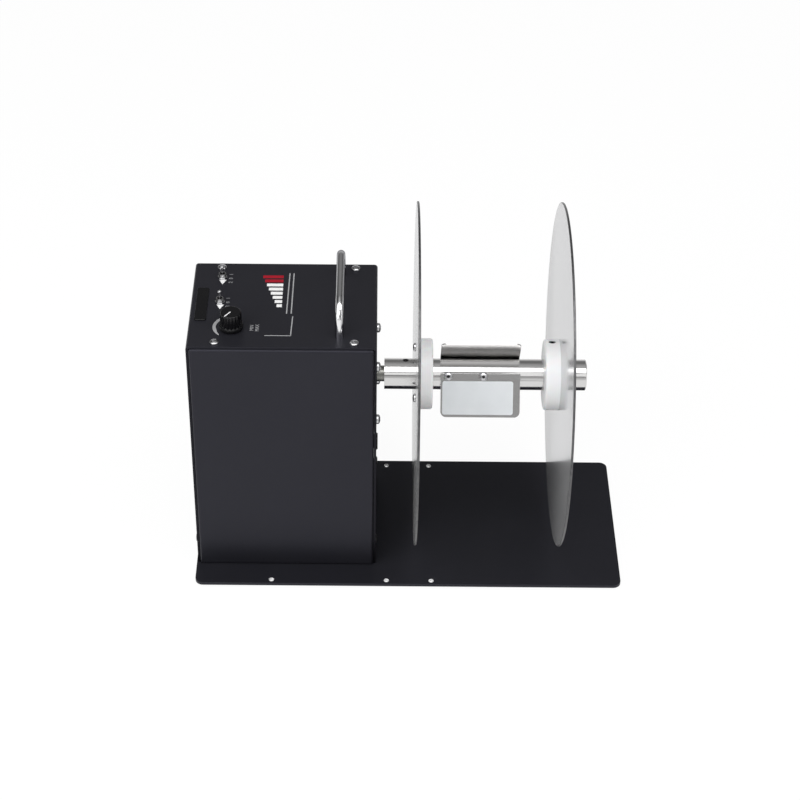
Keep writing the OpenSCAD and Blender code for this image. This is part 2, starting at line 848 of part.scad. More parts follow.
// A drive plate from a depth behind the right wall
module drive_plate(at, t) {
    translate([wall_in - at - t, 0, axis_z])
        rotate([90, 0, 90])
            linear_extrude(t)
                drive_outline();
}

// Front plate of the drive, with the carrier of the two shaft bearings
module drive_front_plate() {
    color("#a9abad")
    difference() {
        union() {
            drive_plate(0, front_plate_t);
            on_axis()
                bar_x(wall_in - carrier_l, carrier_l, carrier_d);
        }
        on_axis() {
            bar_x(wall_in - bearing_w, bearing_w + cut, bearing_d + 2 * fit_gap);
            bar_x(wall_in - carrier_l - cut, bearing_w + cut, bearing_d + 2 * fit_gap);
            bar_x(wall_in - carrier_l, carrier_l, bearing_d - 4);
            translate([0, 0, cluster_z])
                bar_x(wall_in - front_plate_t - cut, front_plate_t - 1, axle_d + 2 * fit_gap);
        }
        at_mount_screws(wall_in - front_plate_t - cut)
            cylinder(h = front_plate_t + 2 * cut, d = mount_screw_d + 2 * hole_gap);
    }
}

module drive_rear_plate() {
    color("#a9abad")
    difference() {
        drive_plate(rear_plate_at, rear_plate_t);
        on_axis() {
            translate([0, 0, motor_z])
                bar_x(wall_in - motor_at - cut, rear_plate_t + 2 * cut, pilot_d + 2 * fit_gap);
            translate([0, 0, cluster_z])
                bar_x(wall_in - motor_at - cut, rear_plate_t + 2 * cut, axle_d + 2 * fit_gap);
            for (p = motor_screw_pos)
                translate([0, p[0], motor_z + p[1]])
                    bar_x(wall_in - motor_at - cut, rear_plate_t + 2 * cut, m4_d + 2 * hole_gap);
        }
        at_mount_screws(wall_in - motor_at - cut)
            cylinder(h = rear_plate_t + 2 * cut, d = m4_d + 2 * hole_gap);
    }
}

// Spacers between the drive's plates, tapped at both ends
module drive_pillars() {
    color("#9c9ea0")
    difference() {
        at_mount_screws(wall_in - rear_plate_at)
            cylinder(h = pillar_l, d = pillar_d);
        at_mount_screws(wall_in - rear_plate_at - cut)
            cylinder(h = pillar_screw_l + 1 + cut, d = m4_d + 2 * fit_gap);
        at_mount_screws(wall_in - front_plate_t - pillar_screw_l - 1)
            cylinder(h = pillar_screw_l + 1 + cut, d = mount_screw_d + 2 * fit_gap);
    }
}

module pillar_screws() {
    color("#8d8f92")
    at_mount_screws(wall_in - motor_at)
        rotate([180, 0, 0])
            screw(m4_d, rear_plate_t + pillar_screw_l, m4_head_d, m4_head_h);
}

// Screws through the right wall and the drive's front plate into the pillars
module drive_mount_screws() {
    color("silver")
    at_mount_screws(case_x1)
        screw(mount_screw_d, sheet_t + front_plate_t + pillar_screw_l, mount_head_d, mount_head_h);
}

module shaft_bearings() {
    color("#b9bbbe")
    on_axis()
        for (at = [bearing_w, carrier_l])
            difference() {
                bar_x(wall_in - at, bearing_w, bearing_d);
                bar_x(wall_in - at - cut, bearing_w + 2 * cut, shaft_d + 2 * run_gap);
            }
}

module cluster_axle() {
    color("#b9bbbe")
    translate([0, 0, axis_z + cluster_z])
        bar_x(wall_in - motor_at, motor_at - 2, axle_d);
}

module motor_can() {
    color("#55585c")
    translate([wall_in - motor_at, 0, axis_z + motor_z])
        difference() {
            union() {
                bar_x(-motor_l + motor_cap_t, motor_l - motor_cap_t, motor_d);
                bar_x(0, rear_plate_t, pilot_d);
            }
            bar_x(-motor_l, motor_l - motor_front_t, motor_d - 2 * motor_wall);
            bar_x(-motor_l, motor_l + rear_plate_t + cut, motor_shaft_d + 2 * run_gap);
            for (p = motor_screw_pos)
                translate([0, p[0], p[1]])
                    bar_x(-motor_front_t - cut, motor_front_t + 2 * cut, m4_d + 2 * fit_gap);
        }
}

module motor_end_cap() {
    color("#3f4245")
    translate([wall_in - motor_at - motor_l, 0, axis_z + motor_z])
        difference() {
            union() {
                bar_x(0, motor_cap_t, motor_d);
                bar_x(motor_cap_t, 3, motor_d - 2 * motor_wall - 2 * fit_gap);
            }
            bar_x(2, motor_cap_t + 3, motor_shaft_d + 2 * run_gap);
        }
}

// Two curved magnets inside the can
module motor_magnets() {
    color("#2f3133")
    translate([wall_in - motor_at, 0, axis_z + motor_z])
        difference() {
            bar_x(-magnet_at - magnet_l, magnet_l, motor_d - 2 * motor_wall - 2 * fit_gap);
            bar_x(-magnet_at - magnet_l - cut, magnet_l + 2 * cut, motor_core_d + 2);
            translate([-magnet_at - magnet_l - cut, -motor_d / 12, -motor_d / 2])
                cube([magnet_l + 2 * cut, motor_d / 6, motor_d]);
        }
}

module motor_screws() {
    color("#8d8f92")
    for (p = motor_screw_pos)
        translate([wall_in - rear_plate_at, p[0], axis_z + motor_z + p[1]])
            rotate([0, 90, 0])
                screw(m4_d, rear_plate_t + motor_front_t, m4_head_d, m4_head_h);
}

module control_board() {
    color("#1f5b3a")
    difference() {
        translate([case_mid_x, 0, plate_top + board_lift])
            linear_extrude(board[2])
                rounded_rect(board[0], board[1], 2);
        at_board_corners()
            translate([0, 0, board_lift - cut])
                cylinder(h = board[2] + 2 * cut, d = m3_d + 2 * hole_gap);
    }
}

module board_standoffs() {
    color("#c2a45a")
    at_board_corners()
        difference() {
            union() {
                cylinder(h = board_lift, d = 2 * m3_d);
                translate([0, 0, -plate_t])
                    cylinder(h = plate_t, d = m3_d);
            }
            translate([0, 0, board_lift / 2])
                cylinder(h = board_lift, d = m3_d + 2 * fit_gap);
        }
}

module board_screws() {
    color("#8d8f92")
    at_board_corners()
        translate([0, 0, board_lift + board[2]])
            screw(m3_d, board[2] + board_lift / 2 - 0.5, m3_head_d, m3_head_h);
}

// Finned heat sink on the board
module heat_sink() {
    color("#8f9295")
    translate([case_mid_x - board[0] / 2 + 2 * board_screw_in, -heat_sink_size[1] / 2,
        plate_top + board_lift + board[2]]) {
        cube([heat_sink_size[0], heat_sink_size[1], heat_sink_t]);
        for (i = [0 : 4])
            translate([i * (heat_sink_size[0] - heat_sink_t) / 4, 0, 0])
                cube([heat_sink_t, heat_sink_size[1], heat_sink_size[2]]);
    }
}

// Two capacitors and a terminal block on the board
module board_parts() {
    color("#2c3f66")
    translate([case_mid_x, 0, plate_top + board_lift + board[2]]) {
        for (y = [-1, 1])
            translate([0, y * capacitor_d * 0.7, 0])
                cylinder(h = capacitor_h, d = capacitor_d);
        translate([board[0] / 2 - 2 * board_screw_in - terminal_block[0], -terminal_block[1] / 2, 0])
            cube(terminal_block);
    }
}

module torque_pot() {
    color("#4b4d50")
    at_knob()
        difference() {
            union() {
                translate([0, 0, -sheet_t - pot_body_h])
                    cylinder(h = pot_body_h, d = pot_body_d);
                translate([0, 0, -sheet_t])
                    cylinder(h = sheet_t + pot_bush_h, d = pot_bush_d);
            }
            translate([0, 0, -sheet_t - pot_body_h + 2])
                cylinder(h = pot_body_h + sheet_t + pot_bush_h, d = pot_shaft_d + 2 * run_gap);
        }
}

// Toggle switch: the body below the cover and the bushing through it, bored for the lever
module toggle_switch(y) {
    color("#3b3d40")
    at_toggle(y)
        difference() {
            union() {
                translate([-toggle_body[0] / 2, -toggle_body[1] / 2, -sheet_t - toggle_body[2]])
                    cube(toggle_body);
                translate([0, 0, -sheet_t])
                    cylinder(h = sheet_t + toggle_bush_h, d = toggle_bush_d);
            }
            translate([0, 0, toggle_pivot_h - toggle_pivot_d / 2 - 0.3])
                cylinder(h = toggle_bush_h + toggle_pivot_d, d = toggle_pivot_d + 2 * run_gap);
        }
}

module torque_switch() {
    toggle_switch(toggle_rear_y);
}

module direction_switch() {
    toggle_switch(toggle_front_y);
}

// Hexagonal panel nut around a bushing
module panel_nut(af, bore) {
    difference() {
        cylinder(h = control_nut_h, d = af / cos(30), $fn = 6);
        translate([0, 0, -cut])
            cylinder(h = control_nut_h + 2 * cut, d = bore + 2 * fit_gap);
    }
}

module control_nuts() {
    color("silver") {
        for (y = [toggle_front_y, toggle_rear_y])
            at_toggle(y)
                panel_nut(toggle_nut_af, toggle_bush_d);
        at_knob()
            panel_nut(pot_nut_af, pot_bush_d);
    }
}

// Shaft from the output gear through the bearings into the spindle
module drive_shaft() {
    color("#b9bbbe")
    on_axis()
        difference() {
            union() {
                bar_x(wall_in - shaft_end_at, spindle_x0 + spindle_bore - 2 - wall_in + shaft_end_at, shaft_d);
                bar_x(wall_in - carrier_l + bearing_w + 0.2, carrier_l - 2 * bearing_w - 0.4, shaft_collar_d);
            }
            translate([wall_in - ring_at, -key_size / 2 - fit_gap, shaft_d / 2 - key_size / 2])
                cube([output_face, key_size + 2 * fit_gap, key_size]);
            difference() {
                bar_x(wall_in - ring_at - ring_t - fit_gap, ring_t + 2 * fit_gap, shaft_d + cut);
                bar_x(wall_in - ring_at - ring_t - cut, ring_t + 2 * cut, shaft_d - 2);
            }
        }
}

module output_gear() {
    color("#b0a070")
    on_axis()
        difference() {
            spur(wall_in - ring_at, output_face, output_teeth, -90);
            bar_x(wall_in - ring_at - cut, output_face + 2 * cut, shaft_d + 2 * fit_gap);
            translate([wall_in - ring_at - cut, -key_size / 2 - fit_gap, 0])
                cube([output_face + 2 * cut, key_size + 2 * fit_gap, shaft_d / 2 + key_size / 2 + fit_gap]);
        }
}

module gear_key() {
    color("#8d8f92")
    on_axis()
        translate([wall_in - ring_at + 0.5, -key_size / 2, shaft_d / 2 - key_size / 2 + fit_gap])
            cube([output_face - 1, key_size, key_size - fit_gap]);
}

// Ring in the shaft's groove that holds the output gear
module retaining_ring() {
    color("#5d5f62")
    on_axis()
        difference() {
            bar_x(wall_in - ring_at - ring_t, ring_t, ring_d);
            bar_x(wall_in - ring_at - ring_t - cut, ring_t + 2 * cut, shaft_d - 2 + 2 * fit_gap);
            translate([wall_in - ring_at - ring_t - cut, -2, -ring_d])
                cube([ring_t + 2 * cut, 4, ring_d]);
        }
}

// The polished bar that carries the flanges and the fins
module spindle() {
    chamfer = 0.8;
    color("#c9cbcd")
    on_axis()
        difference() {
            union() {
                bar_x(spindle_x0, spindle_l - chamfer, spindle_d);
                translate([spindle_x0 + spindle_l - chamfer, 0, 0])
                    rotate([0, 90, 0])
                        cylinder(h = chamfer, d1 = spindle_d, d2 = spindle_d - 2 * chamfer);
            }
            bar_x(spindle_x0 - cut, spindle_bore + cut, shaft_d + 2 * fit_gap);
            for (a = [spindle_screw_angle, spindle_screw_angle - 90])
                on_radius(a, spindle_x0 + spindle_screw_in, 0)
                    cylinder(h = spindle_r + cut, d = grub_d + 2 * fit_gap);
            for (a = fin_angles) {
                rotate([a, 0, 0])
                    translate([fin_x0 - 0.5, fin_seat_r, -spindle_r])
                        cube([fin_l + 1, spindle_r, spindle_d]);
                for (x = fin_screw_x)
                    on_radius(a, x, fin_seat_r - fin_screw_l - 1)
                        cylinder(h = fin_screw_l + 1 + cut, d = m4_d + 2 * fit_gap);
            }
        }
}

// Set screws that lock the spindle on the drive shaft, and the inner hub on the spindle
module set_screws() {
    color("#2b2c2e")
    on_axis() {
        for (a = [spindle_screw_angle, spindle_screw_angle - 90])
            on_radius(a, spindle_x0 + spindle_screw_in, shaft_d / 2 + fit_gap)
                grub(grub_d, grub_l);
        on_radius(300, inner_face + hub_l / 2, spindle_r + fit_gap)
            grub(hub_grub_d, hub_screw_l);
    }
}

// Puts something at the three flange screws, with its +Z along +X
module at_flange_screws(x, turn) {
    for (i = [0 : 2])
        rotate([flange_screw_angle + turn + i * 120, 0, 0])
            translate([x, flange_screw_r, 0])
                rotate([0, 90, 0])
                    children();
}

// Round flange disc along +X, bored for the spindle and its screws
module flange_disc(x, bore_gap, turn) {
    edge = 0.4;
    rim = flange_d / 2;
    difference() {
        translate([x, 0, 0])
            rotate([0, 90, 0])
                rotate_extrude($fn = 180)
                    polygon([[spindle_r + bore_gap, 0], [rim - edge, 0], [rim, edge], [rim, flange_t - edge],
                        [rim - edge, flange_t], [spindle_r + bore_gap, flange_t]]);
        at_flange_screws(x - cut, turn)
            cylinder(h = flange_t + 2 * cut, d = m4_d + 2 * hole_gap);
    }
}

// Hub from the flange side at z = 0 to its rounded edge, bored for the spindle
module hub_body(bore_gap) {
    difference() {
        rotate_extrude()
            difference() {
                union() {
                    square([hub_d / 2, hub_l - hub_edge_r]);
                    square([hub_d / 2 - hub_edge_r, hub_l]);
                    translate([hub_d / 2 - hub_edge_r, hub_l - hub_edge_r])
                        circle(hub_edge_r);
                }
                translate([-hub_d, -cut])
                    square([hub_d + spindle_r + bore_gap, hub_l + 2 * cut]);
            }
    }
}

module inner_flange() {
    color("#cfd1d3")
    on_axis()
        flange_disc(inner_face - flange_t, fit_gap, 0);
}

module inner_hub() {
    color("#eceef0")
    on_axis()
        difference() {
            translate([inner_face, 0, 0])
                rotate([0, 90, 0])
                    hub_body(fit_gap);
            at_flange_screws(inner_face - cut, 0)
                cylinder(h = hub_l - 2 + cut, d = m4_d + 2 * fit_gap);
            on_radius(300, inner_face + hub_l / 2, 0)
                cylinder(h = hub_d, d = hub_grub_d + 2 * fit_gap);
        }
}

module inner_flange_screws() {
    color("silver")
    on_axis()
        at_flange_screws(inner_face - flange_t, 0)
            rotate([180, 0, 0])
                screw(m4_d, flange_t + hub_l - 3, m4_head_d, m4_head_h);
}

// Leaf fin along the spindle, seated on its flat and reaching out to the core
module core_fin(angle) {
    color("#b4b6b8")
    on_axis()
        rotate([angle, 0, 0])
            translate([fin_x0, fin_seat_r + fin_t, -fin_back])
                rotate([90, 0, 0])
                    linear_extrude(fin_t)
                        difference() {
                            rounded_end(fin_l, fin_back + fin_reach, fin_corner_r);
                            for (x = fin_screw_x)
                                translate([x - fin_x0, fin_back])
                                    circle(d = m4_d + 2 * fit_gap);
                        }
}

module front_fin() {
    core_fin(fin_angles[0]);
}

module upper_fin() {
    core_fin(fin_angles[1]);
}

module rear_fin() {
    core_fin(fin_angles[2]);
}

module fin_screws() {
    color("silver")
    on_axis()
        for (a = fin_angles, x = fin_screw_x)
            on_radius(a, x, fin_seat_r + fin_t)
                button_screw(m4_d, fin_t + fin_screw_l, m4_head_d, button_head_h);
}

// Bare sticker on the outside of the front fin
module fin_sticker() {
    color("#d9dde0")
    on_axis()
        rotate([fin_angles[0], 0, 0])
            translate([fin_x0 + sticker_in + sticker[0] / 2, fin_seat_r + fin_t + sticker[2],
                sticker_out + sticker[1] / 2])
                rotate([90, 0, 0])
                    linear_extrude(sticker[2])
                        rounded_rect(sticker[0], sticker[1], 2);
}

module outer_flange() {
    color("#cfd1d3")
    on_axis()
        flange_disc(outer_face, run_gap, outer_screw_turn);
}

module outer_hub() {
    color("#eceef0")
    on_axis()
        difference() {
            translate([outer_face, 0, 0])
                rotate([0, -90, 0])
                    hub_body(run_gap);
            at_flange_screws(outer_face - hub_l + 2, outer_screw_turn)
                cylinder(h = hub_l - 2 + cut, d = m4_d + 2 * fit_gap);
            on_radius(hub_screw_angle, outer_face - hub_l / 2, 0)
                cylinder(h = hub_d, d = hub_grub_d + 2 * fit_gap);
        }
}

module outer_flange_screws() {
    color("silver")
    on_axis()
        at_flange_screws(outer_face + flange_t, outer_screw_turn)
            screw(m4_d, flange_t + hub_l - 3, m4_head_d, m4_head_h);
}

module outer_hub_screw() {
    color("#2b2c2e")
    on_axis()
        on_radius(hub_screw_angle, outer_face - hub_l / 2, spindle_r + 2 * run_gap)
            grub(hub_grub_d, hub_screw_l);
}

// Cluster gear: a small pinion and a large wheel in one, on its fixed axle
module cluster_gear() {
    color("#b0a070")
    translate([0, 0, axis_z + cluster_z])
        difference() {
            union() {
                bar_x(wall_in - rear_plate_at + cluster_float,
                    rear_plate_at - front_plate_t - 2 * cluster_float, cluster_sleeve_d);
                spur(wall_in - wheel_at, wheel_at - output_at + 1, cluster_pinion_teeth, 90, true);
                spur(wall_in - wheel_at - cluster_face, cluster_face, cluster_teeth, 90);
            }
            bar_x(wall_in - rear_plate_at, rear_plate_at, axle_d + 2 * run_gap);
        }
}

// Rotor of the motor: shaft, wound core and commutator
module motor_rotor() {
    color("#8a5a3a")
    translate([wall_in - motor_at, 0, axis_z + motor_z]) {
        bar_x(-motor_l + 2.5, motor_l - 2.5 + motor_at - shaft_end_at - 1, motor_shaft_d);
        bar_x(-core_at - motor_core_l, motor_core_l, motor_core_d);
        bar_x(-commutator_at - commutator_l, commutator_l, motor_shaft_d + 12);
    }
}

module motor_pinion() {
    color("#8d8f92")
    translate([0, 0, axis_z + motor_z])
        difference() {
            spur(wall_in - wheel_at - cluster_face - 1.5, cluster_face + 2.5, motor_teeth, -90, true);
            bar_x(wall_in - motor_at, motor_at, motor_shaft_d + 2 * fit_gap);
        }
}

// Torque knob: skirt, fluted grip and a shallow groove for the pointer line
module torque_knob() {
    grip_r = knob_grip_d / 2;
    flute_r = 1;
    cap_h = 0.8;
    cap_r = grip_r - flute_r;
    color("#101012")
    translate([knob_x, knob_y, knob_z0])
        difference() {
            union() {
                cylinder(h = knob_skirt_h, d = knob_d);
                linear_extrude(knob_h - cap_h)
                    difference() {
                        circle(grip_r);
                        for (i = [0 : knob_flutes - 1])
                            rotate((i + 0.5) * 360 / knob_flutes + pointer_angle)
                                translate([grip_r + flute_r * 0.5, 0])
                                    circle(flute_r);
                    }
                cylinder(h = knob_h, r = cap_r);
            }
            translate([0, 0, -cut])
                cylinder(h = knob_recess_h + cut, d = knob_recess_d);
            cylinder(h = pot_shaft_top - knob_z0 + 0.3, d = pot_shaft_d + 2 * fit_gap);
            rotate(pointer_angle)
                translate([2, -0.6, knob_h - cap_h / 2])
                    cube([grip_r, 1.2, cut]);
        }
}

module pot_shaft() {
    foot_z = case_top - sheet_t - pot_body_h + 2.3;
    color("#b9bbbe")
    translate([knob_x, knob_y, foot_z])
        cylinder(h = pot_shaft_top - foot_z, d = pot_shaft_d);
}

// Toggle lever: the ball it turns on, a tapered stem and a rounded tip
module toggle_lever(y) {
    tip_h = toggle_lever_h - toggle_pivot_h;
    color("gainsboro")
    at_toggle(y)
        translate([0, 0, toggle_pivot_h]) {
            sphere(d = toggle_pivot_d);
            cylinder(h = tip_h, d1 = 2, d2 = toggle_tip_d * 0.8);
            translate([0, 0, tip_h])
                sphere(d = toggle_tip_d);
        }
}

module torque_lever() {
    toggle_lever(toggle_rear_y);
}

module direction_lever() {
    toggle_lever(toggle_front_y);
}

base_plate();
rubber_feet();
front_panel();
rear_panel();
cover();
cover_screws();
side_screws();
base_screws();
press_nuts();
handle();
handle_screws();
nameplate();
hole_plug();
power_jack();
drive_front_plate();
drive_rear_plate();
drive_pillars();
pillar_screws();
drive_mount_screws();
shaft_bearings();
cluster_axle();
motor_can();
motor_end_cap();
motor_magnets();
motor_screws();
control_board();
board_standoffs();
board_screws();
heat_sink();
board_parts();
torque_pot();
torque_switch();
direction_switch();
control_nuts();
drive_shaft();
output_gear();
gear_key();
retaining_ring();
spindle();
set_screws();
inner_flange();
inner_hub();
inner_flange_screws();
front_fin();
upper_fin();
rear_fin();
fin_screws();
fin_sticker();
outer_flange();
outer_hub();
outer_flange_screws();
outer_hub_screw();
cluster_gear();
motor_rotor();
motor_pinion();
torque_knob();
pot_shaft();
torque_lever();
direction_lever();
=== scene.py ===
# %% [markdown]
# # A bench label rewinder, dressed for its picture
# A black sheet-metal box holds a geared motor. A polished spindle comes out of its right wall and carries two
# large aluminium flanges and three springy fins, which hold a roll of labels while it is wound.
# The CAD frame already has every solid at its real size and place. This lesson gives the solids their looks:
# broken edges, real screw heads, a moulded knob, printed marks, and paints and metals made of shader nodes.
# Sizes are written in millimetres and turned into Blender's metres by `mm`.

import json
import math

import bmesh
import bpy
from mathutils import Matrix, Vector


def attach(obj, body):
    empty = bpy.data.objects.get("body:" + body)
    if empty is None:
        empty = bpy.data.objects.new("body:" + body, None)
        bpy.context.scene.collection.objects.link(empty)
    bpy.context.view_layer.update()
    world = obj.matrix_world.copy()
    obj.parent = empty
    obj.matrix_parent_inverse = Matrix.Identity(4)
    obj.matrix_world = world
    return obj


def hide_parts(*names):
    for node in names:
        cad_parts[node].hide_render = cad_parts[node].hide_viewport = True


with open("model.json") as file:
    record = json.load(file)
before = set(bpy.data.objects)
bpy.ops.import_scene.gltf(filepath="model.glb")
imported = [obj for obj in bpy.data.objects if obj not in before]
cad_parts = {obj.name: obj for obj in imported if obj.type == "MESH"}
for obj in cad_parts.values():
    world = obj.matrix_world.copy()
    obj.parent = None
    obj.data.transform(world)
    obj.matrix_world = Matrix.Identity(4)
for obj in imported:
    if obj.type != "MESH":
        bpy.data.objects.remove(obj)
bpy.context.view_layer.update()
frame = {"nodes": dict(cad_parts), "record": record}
nodes = frame["nodes"]
scene = bpy.context.scene
mm = 0.001

# %% [markdown]
# ## The camera
# The picture was taken from above with a long lens, a little turned about its own axis. The camera could be
# aimed by hand, but the edges of the plate and the housing give its place exactly, so it is built from the
# three directions of its view. The shift moves the frame without tilting the camera.

# %% Camera
PICTURE_PX, SENSOR = 800, 36
LENS_PX, SHIFT_PX = 2131.18, (20, 40)
CAMERA_PLACE = Vector((-28.31, -1489.5, 1295.14)) * mm
VIEW_DOWN, VIEW_YAW, VIEW_ROLL = (math.radians(angle) for angle in (38.7729, 0.08765, 0.51796))
ahead = Vector((math.sin(VIEW_YAW), math.cos(VIEW_YAW), 0))
forward = math.cos(VIEW_DOWN) * ahead - math.sin(VIEW_DOWN) * Vector((0, 0, 1))
level = Vector((math.cos(VIEW_YAW), -math.sin(VIEW_YAW), 0))
upright = level.cross(forward)
right = math.cos(VIEW_ROLL) * level + math.sin(VIEW_ROLL) * upright
up = math.cos(VIEW_ROLL) * upright - math.sin(VIEW_ROLL) * level
cam_data = bpy.data.cameras.new("camera")
cam_data.sensor_fit, cam_data.sensor_width = "HORIZONTAL", SENSOR
cam_data.lens = LENS_PX / PICTURE_PX * SENSOR
cam_data.shift_x, cam_data.shift_y = (shift / PICTURE_PX for shift in SHIFT_PX)
cam_data.clip_start, cam_data.clip_end = 0.05, 30
camera = bpy.data.objects.new("camera", cam_data)
scene.collection.objects.link(camera)
view_turn = Matrix((right, up, -forward)).transposed().to_4x4()
camera.matrix_world = Matrix.Translation(CAMERA_PLACE) @ view_turn
scene.camera = camera
scene.view_settings.view_transform = "Standard"
print(f"lens {cam_data.lens:.1f} mm")

# %% [markdown]
# ## The studio floor
# Polished metal shows its surroundings and little else, so the studio comes before the object. The floor
# could be lit until it is white, but that light would flood the black paint. Light Path keeps the two apart:
# camera, mirror and glass rays see a glowing white floor, and the rays that light the object see pale grey.
# A small share of that grey stays in the picture, so the floor keeps the object's shadow.

# %% Floor
FLOOR_REACH, FLOOR_GREY = 12.0, 0.8
FLOOR_GLOW, GLOW_SHARE = 1.03, 0.92


def node(tree, kind, **settings):
    """A new node with some of its settings made."""
    made = tree.nodes.new(kind)
    for key, value in settings.items():
        setattr(made, key, value)
    return made


def wire(tree, *pairs):
    """Links each output socket to the input socket that stands beside it."""
    for source, target in pairs:
        tree.links.new(source, target)


def emptied_tree(owner):
    """The node tree of a new material or world, with nothing in it."""
    owner.use_nodes = True
    owner.node_tree.nodes.clear()
    return owner.node_tree


def glow_rays(tree):
    """A socket that is 1 for camera, mirror and glass rays and 0 for the rays that light the object."""
    rays = node(tree, "ShaderNodeLightPath")
    either = node(tree, "ShaderNodeMath", operation="MAXIMUM")
    any_of = node(tree, "ShaderNodeMath", operation="MAXIMUM")
    wire(tree,
         (rays.outputs["Is Camera Ray"], either.inputs[0]), (rays.outputs["Is Glossy Ray"], either.inputs[1]),
         (either.outputs[0], any_of.inputs[0]), (rays.outputs["Is Transmission Ray"], any_of.inputs[1]))
    return any_of.outputs[0]


floor_mesh = bpy.data.meshes.new("floor")
floor_corners = [(x * FLOOR_REACH, y * FLOOR_REACH, 0) for x, y in ((-1, -1), (1, -1), (1, 1), (-1, 1))]
floor_mesh.from_pydata(floor_corners, [], [(0, 1, 2, 3)])
floor = bpy.data.objects.new("floor", floor_mesh)
scene.collection.objects.link(floor)
floor_paint = bpy.data.materials.new("floor_paint")
tree = emptied_tree(floor_paint)
matt = node(tree, "ShaderNodeBsdfDiffuse")
matt.inputs["Color"].default_value = (FLOOR_GREY, FLOOR_GREY, FLOOR_GREY, 1)
glow = node(tree, "ShaderNodeEmission")
glow.inputs["Strength"].default_value = FLOOR_GLOW
share = node(tree, "ShaderNodeMath", operation="MULTIPLY")
share.inputs[1].default_value = GLOW_SHARE
floor_mix = node(tree, "ShaderNodeMixShader")
wire(tree,
     (glow_rays(tree), share.inputs[0]), (share.outputs[0], floor_mix.inputs["Fac"]),
     (matt.outputs[0], floor_mix.inputs[1]), (glow.outputs[0], floor_mix.inputs[2]),
     (floor_mix.outputs[0], node(tree, "ShaderNodeOutputMaterial").inputs["Surface"]))
floor_mesh.materials.append(floor_paint)
print(f"floor {2 * FLOOR_REACH:.0f} m wide")

# %% [markdown]
# ## The studio walls
# The world stands for the walls. One colour ramp reads how high a ray points and another how far it points
# to the side. Their product is pale at the ground, dim higher up, which keeps black paint black, and bright
# again at the far sides, which the flanges mirror. The camera itself sees plain white.

# %% World
WALL_LEVELS = ((0.0, 0.8), (0.2, 0.62), (0.4, 0.22), (0.78, 0.2), (0.92, 0.42), (1.0, 0.5))
SIDE_LEVELS = ((0.0, 1.0), (0.25, 1.0), (0.45, 0.3), (0.7, 0.3), (1.0, 0.8))


def grey_ramp(tree, levels):
    """A colour ramp with a list of (position, grey level) stops."""
    ramp = node(tree, "ShaderNodeValToRGB")
    while len(ramp.color_ramp.elements) < len(levels):
        ramp.color_ramp.elements.new(0.5)
    for stop, (at, grey) in zip(ramp.color_ramp.elements, levels):
        stop.position, stop.color = at, (grey, grey, grey, 1)
    return ramp


world = bpy.data.worlds.new("studio")
scene.world = world
tree = emptied_tree(world)
direction = node(tree, "ShaderNodeTexCoord")
parts = node(tree, "ShaderNodeSeparateXYZ")
sideways = node(tree, "ShaderNodeMath", operation="ABSOLUTE")
by_height, by_side = grey_ramp(tree, WALL_LEVELS), grey_ramp(tree, SIDE_LEVELS)
product = node(tree, "ShaderNodeVectorMath", operation="MULTIPLY")
studio_light = node(tree, "ShaderNodeBackground")
plain_white = node(tree, "ShaderNodeBackground")
plain_white.inputs["Color"].default_value = (1, 1, 1, 1)
wall_mix = node(tree, "ShaderNodeMixShader")
wire(tree,
     (direction.outputs["Generated"], parts.inputs[0]), (parts.outputs["X"], sideways.inputs[0]),
     (parts.outputs["Z"], by_height.inputs["Fac"]), (sideways.outputs[0], by_side.inputs["Fac"]),
     (by_height.outputs["Color"], product.inputs[0]), (by_side.outputs["Color"], product.inputs[1]),
     (product.outputs[0], studio_light.inputs["Color"]),
     (node(tree, "ShaderNodeLightPath").outputs["Is Camera Ray"], wall_mix.inputs["Fac"]),
     (studio_light.outputs[0], wall_mix.inputs[1]), (plain_white.outputs[0], wall_mix.inputs[2]),
     (wall_mix.outputs[0], node(tree, "ShaderNodeOutputWorld").inputs["Surface"]))
print(f"world of {len(tree.nodes)} nodes")

# %% [markdown]
# ## The lamps
# Four large softboxes light the object. Small lamps would leave hard dots on the chrome, while a wide box
# overhead draws one clean white band along the spindle. A level of 1 is as bright as white paper.

# %% Softboxes
STUDIO_AIM = Vector((0, 0, 0.17))
SOFTBOXES = {
    "overhead_box": {"place": (0, -0.6, 1.75), "size": (3.2, 0.9), "level": 3.4},
    "front_box": {"place": (-0.4, -1.8, 1.6), "size": (2.6, 0.95), "level": 0.95},
    "side_box": {"place": (1.9, -0.7, 1.1), "size": (1.4, 1.4), "level": 0.9},
    "left_box": {"place": (-1.5, -1.5, 1.15), "size": (1.9, 1.7), "level": 1.75},
}
for name, box in SOFTBOXES.items():
    lamp = bpy.data.lights.new(name, "AREA")
    lamp.shape, (lamp.size, lamp.size_y) = "RECTANGLE", box["size"]
    lamp.energy = box["level"] * math.pi * box["size"][0] * box["size"][1]
    stand = bpy.data.objects.new(name, lamp)
    scene.collection.objects.link(stand)
    stand.location = box["place"]
    stand.rotation_euler = (STUDIO_AIM - Vector(box["place"])).to_track_quat("-Z", "Y").to_euler()
    stand.visible_camera = False
print("lamps:", ", ".join(SOFTBOXES))

# %% [markdown]
# ## Effects that several finishes share
# Powder coat, brushed sheet and turned metal look real because of small changes over the surface. Each effect
# is one shader node group with its own scale, so every material that needs it uses the same few nodes. The
# first is the fine orange peel and the soft patches of sprayed or moulded surfaces.

# %% Speckle
def shader_group(name, inputs, outputs):
    """An empty group with float inputs (name, value) and named float outputs."""
    group = bpy.data.node_groups.new(name, "ShaderNodeTree")
    for label, value in inputs:
        socket = group.interface.new_socket(label, in_out="INPUT", socket_type="NodeSocketFloat")
        socket.default_value = value
    for label in outputs:
        group.interface.new_socket(label, in_out="OUTPUT", socket_type="NodeSocketFloat")
    return group, group.nodes.new("NodeGroupInput"), group.nodes.new("NodeGroupOutput")


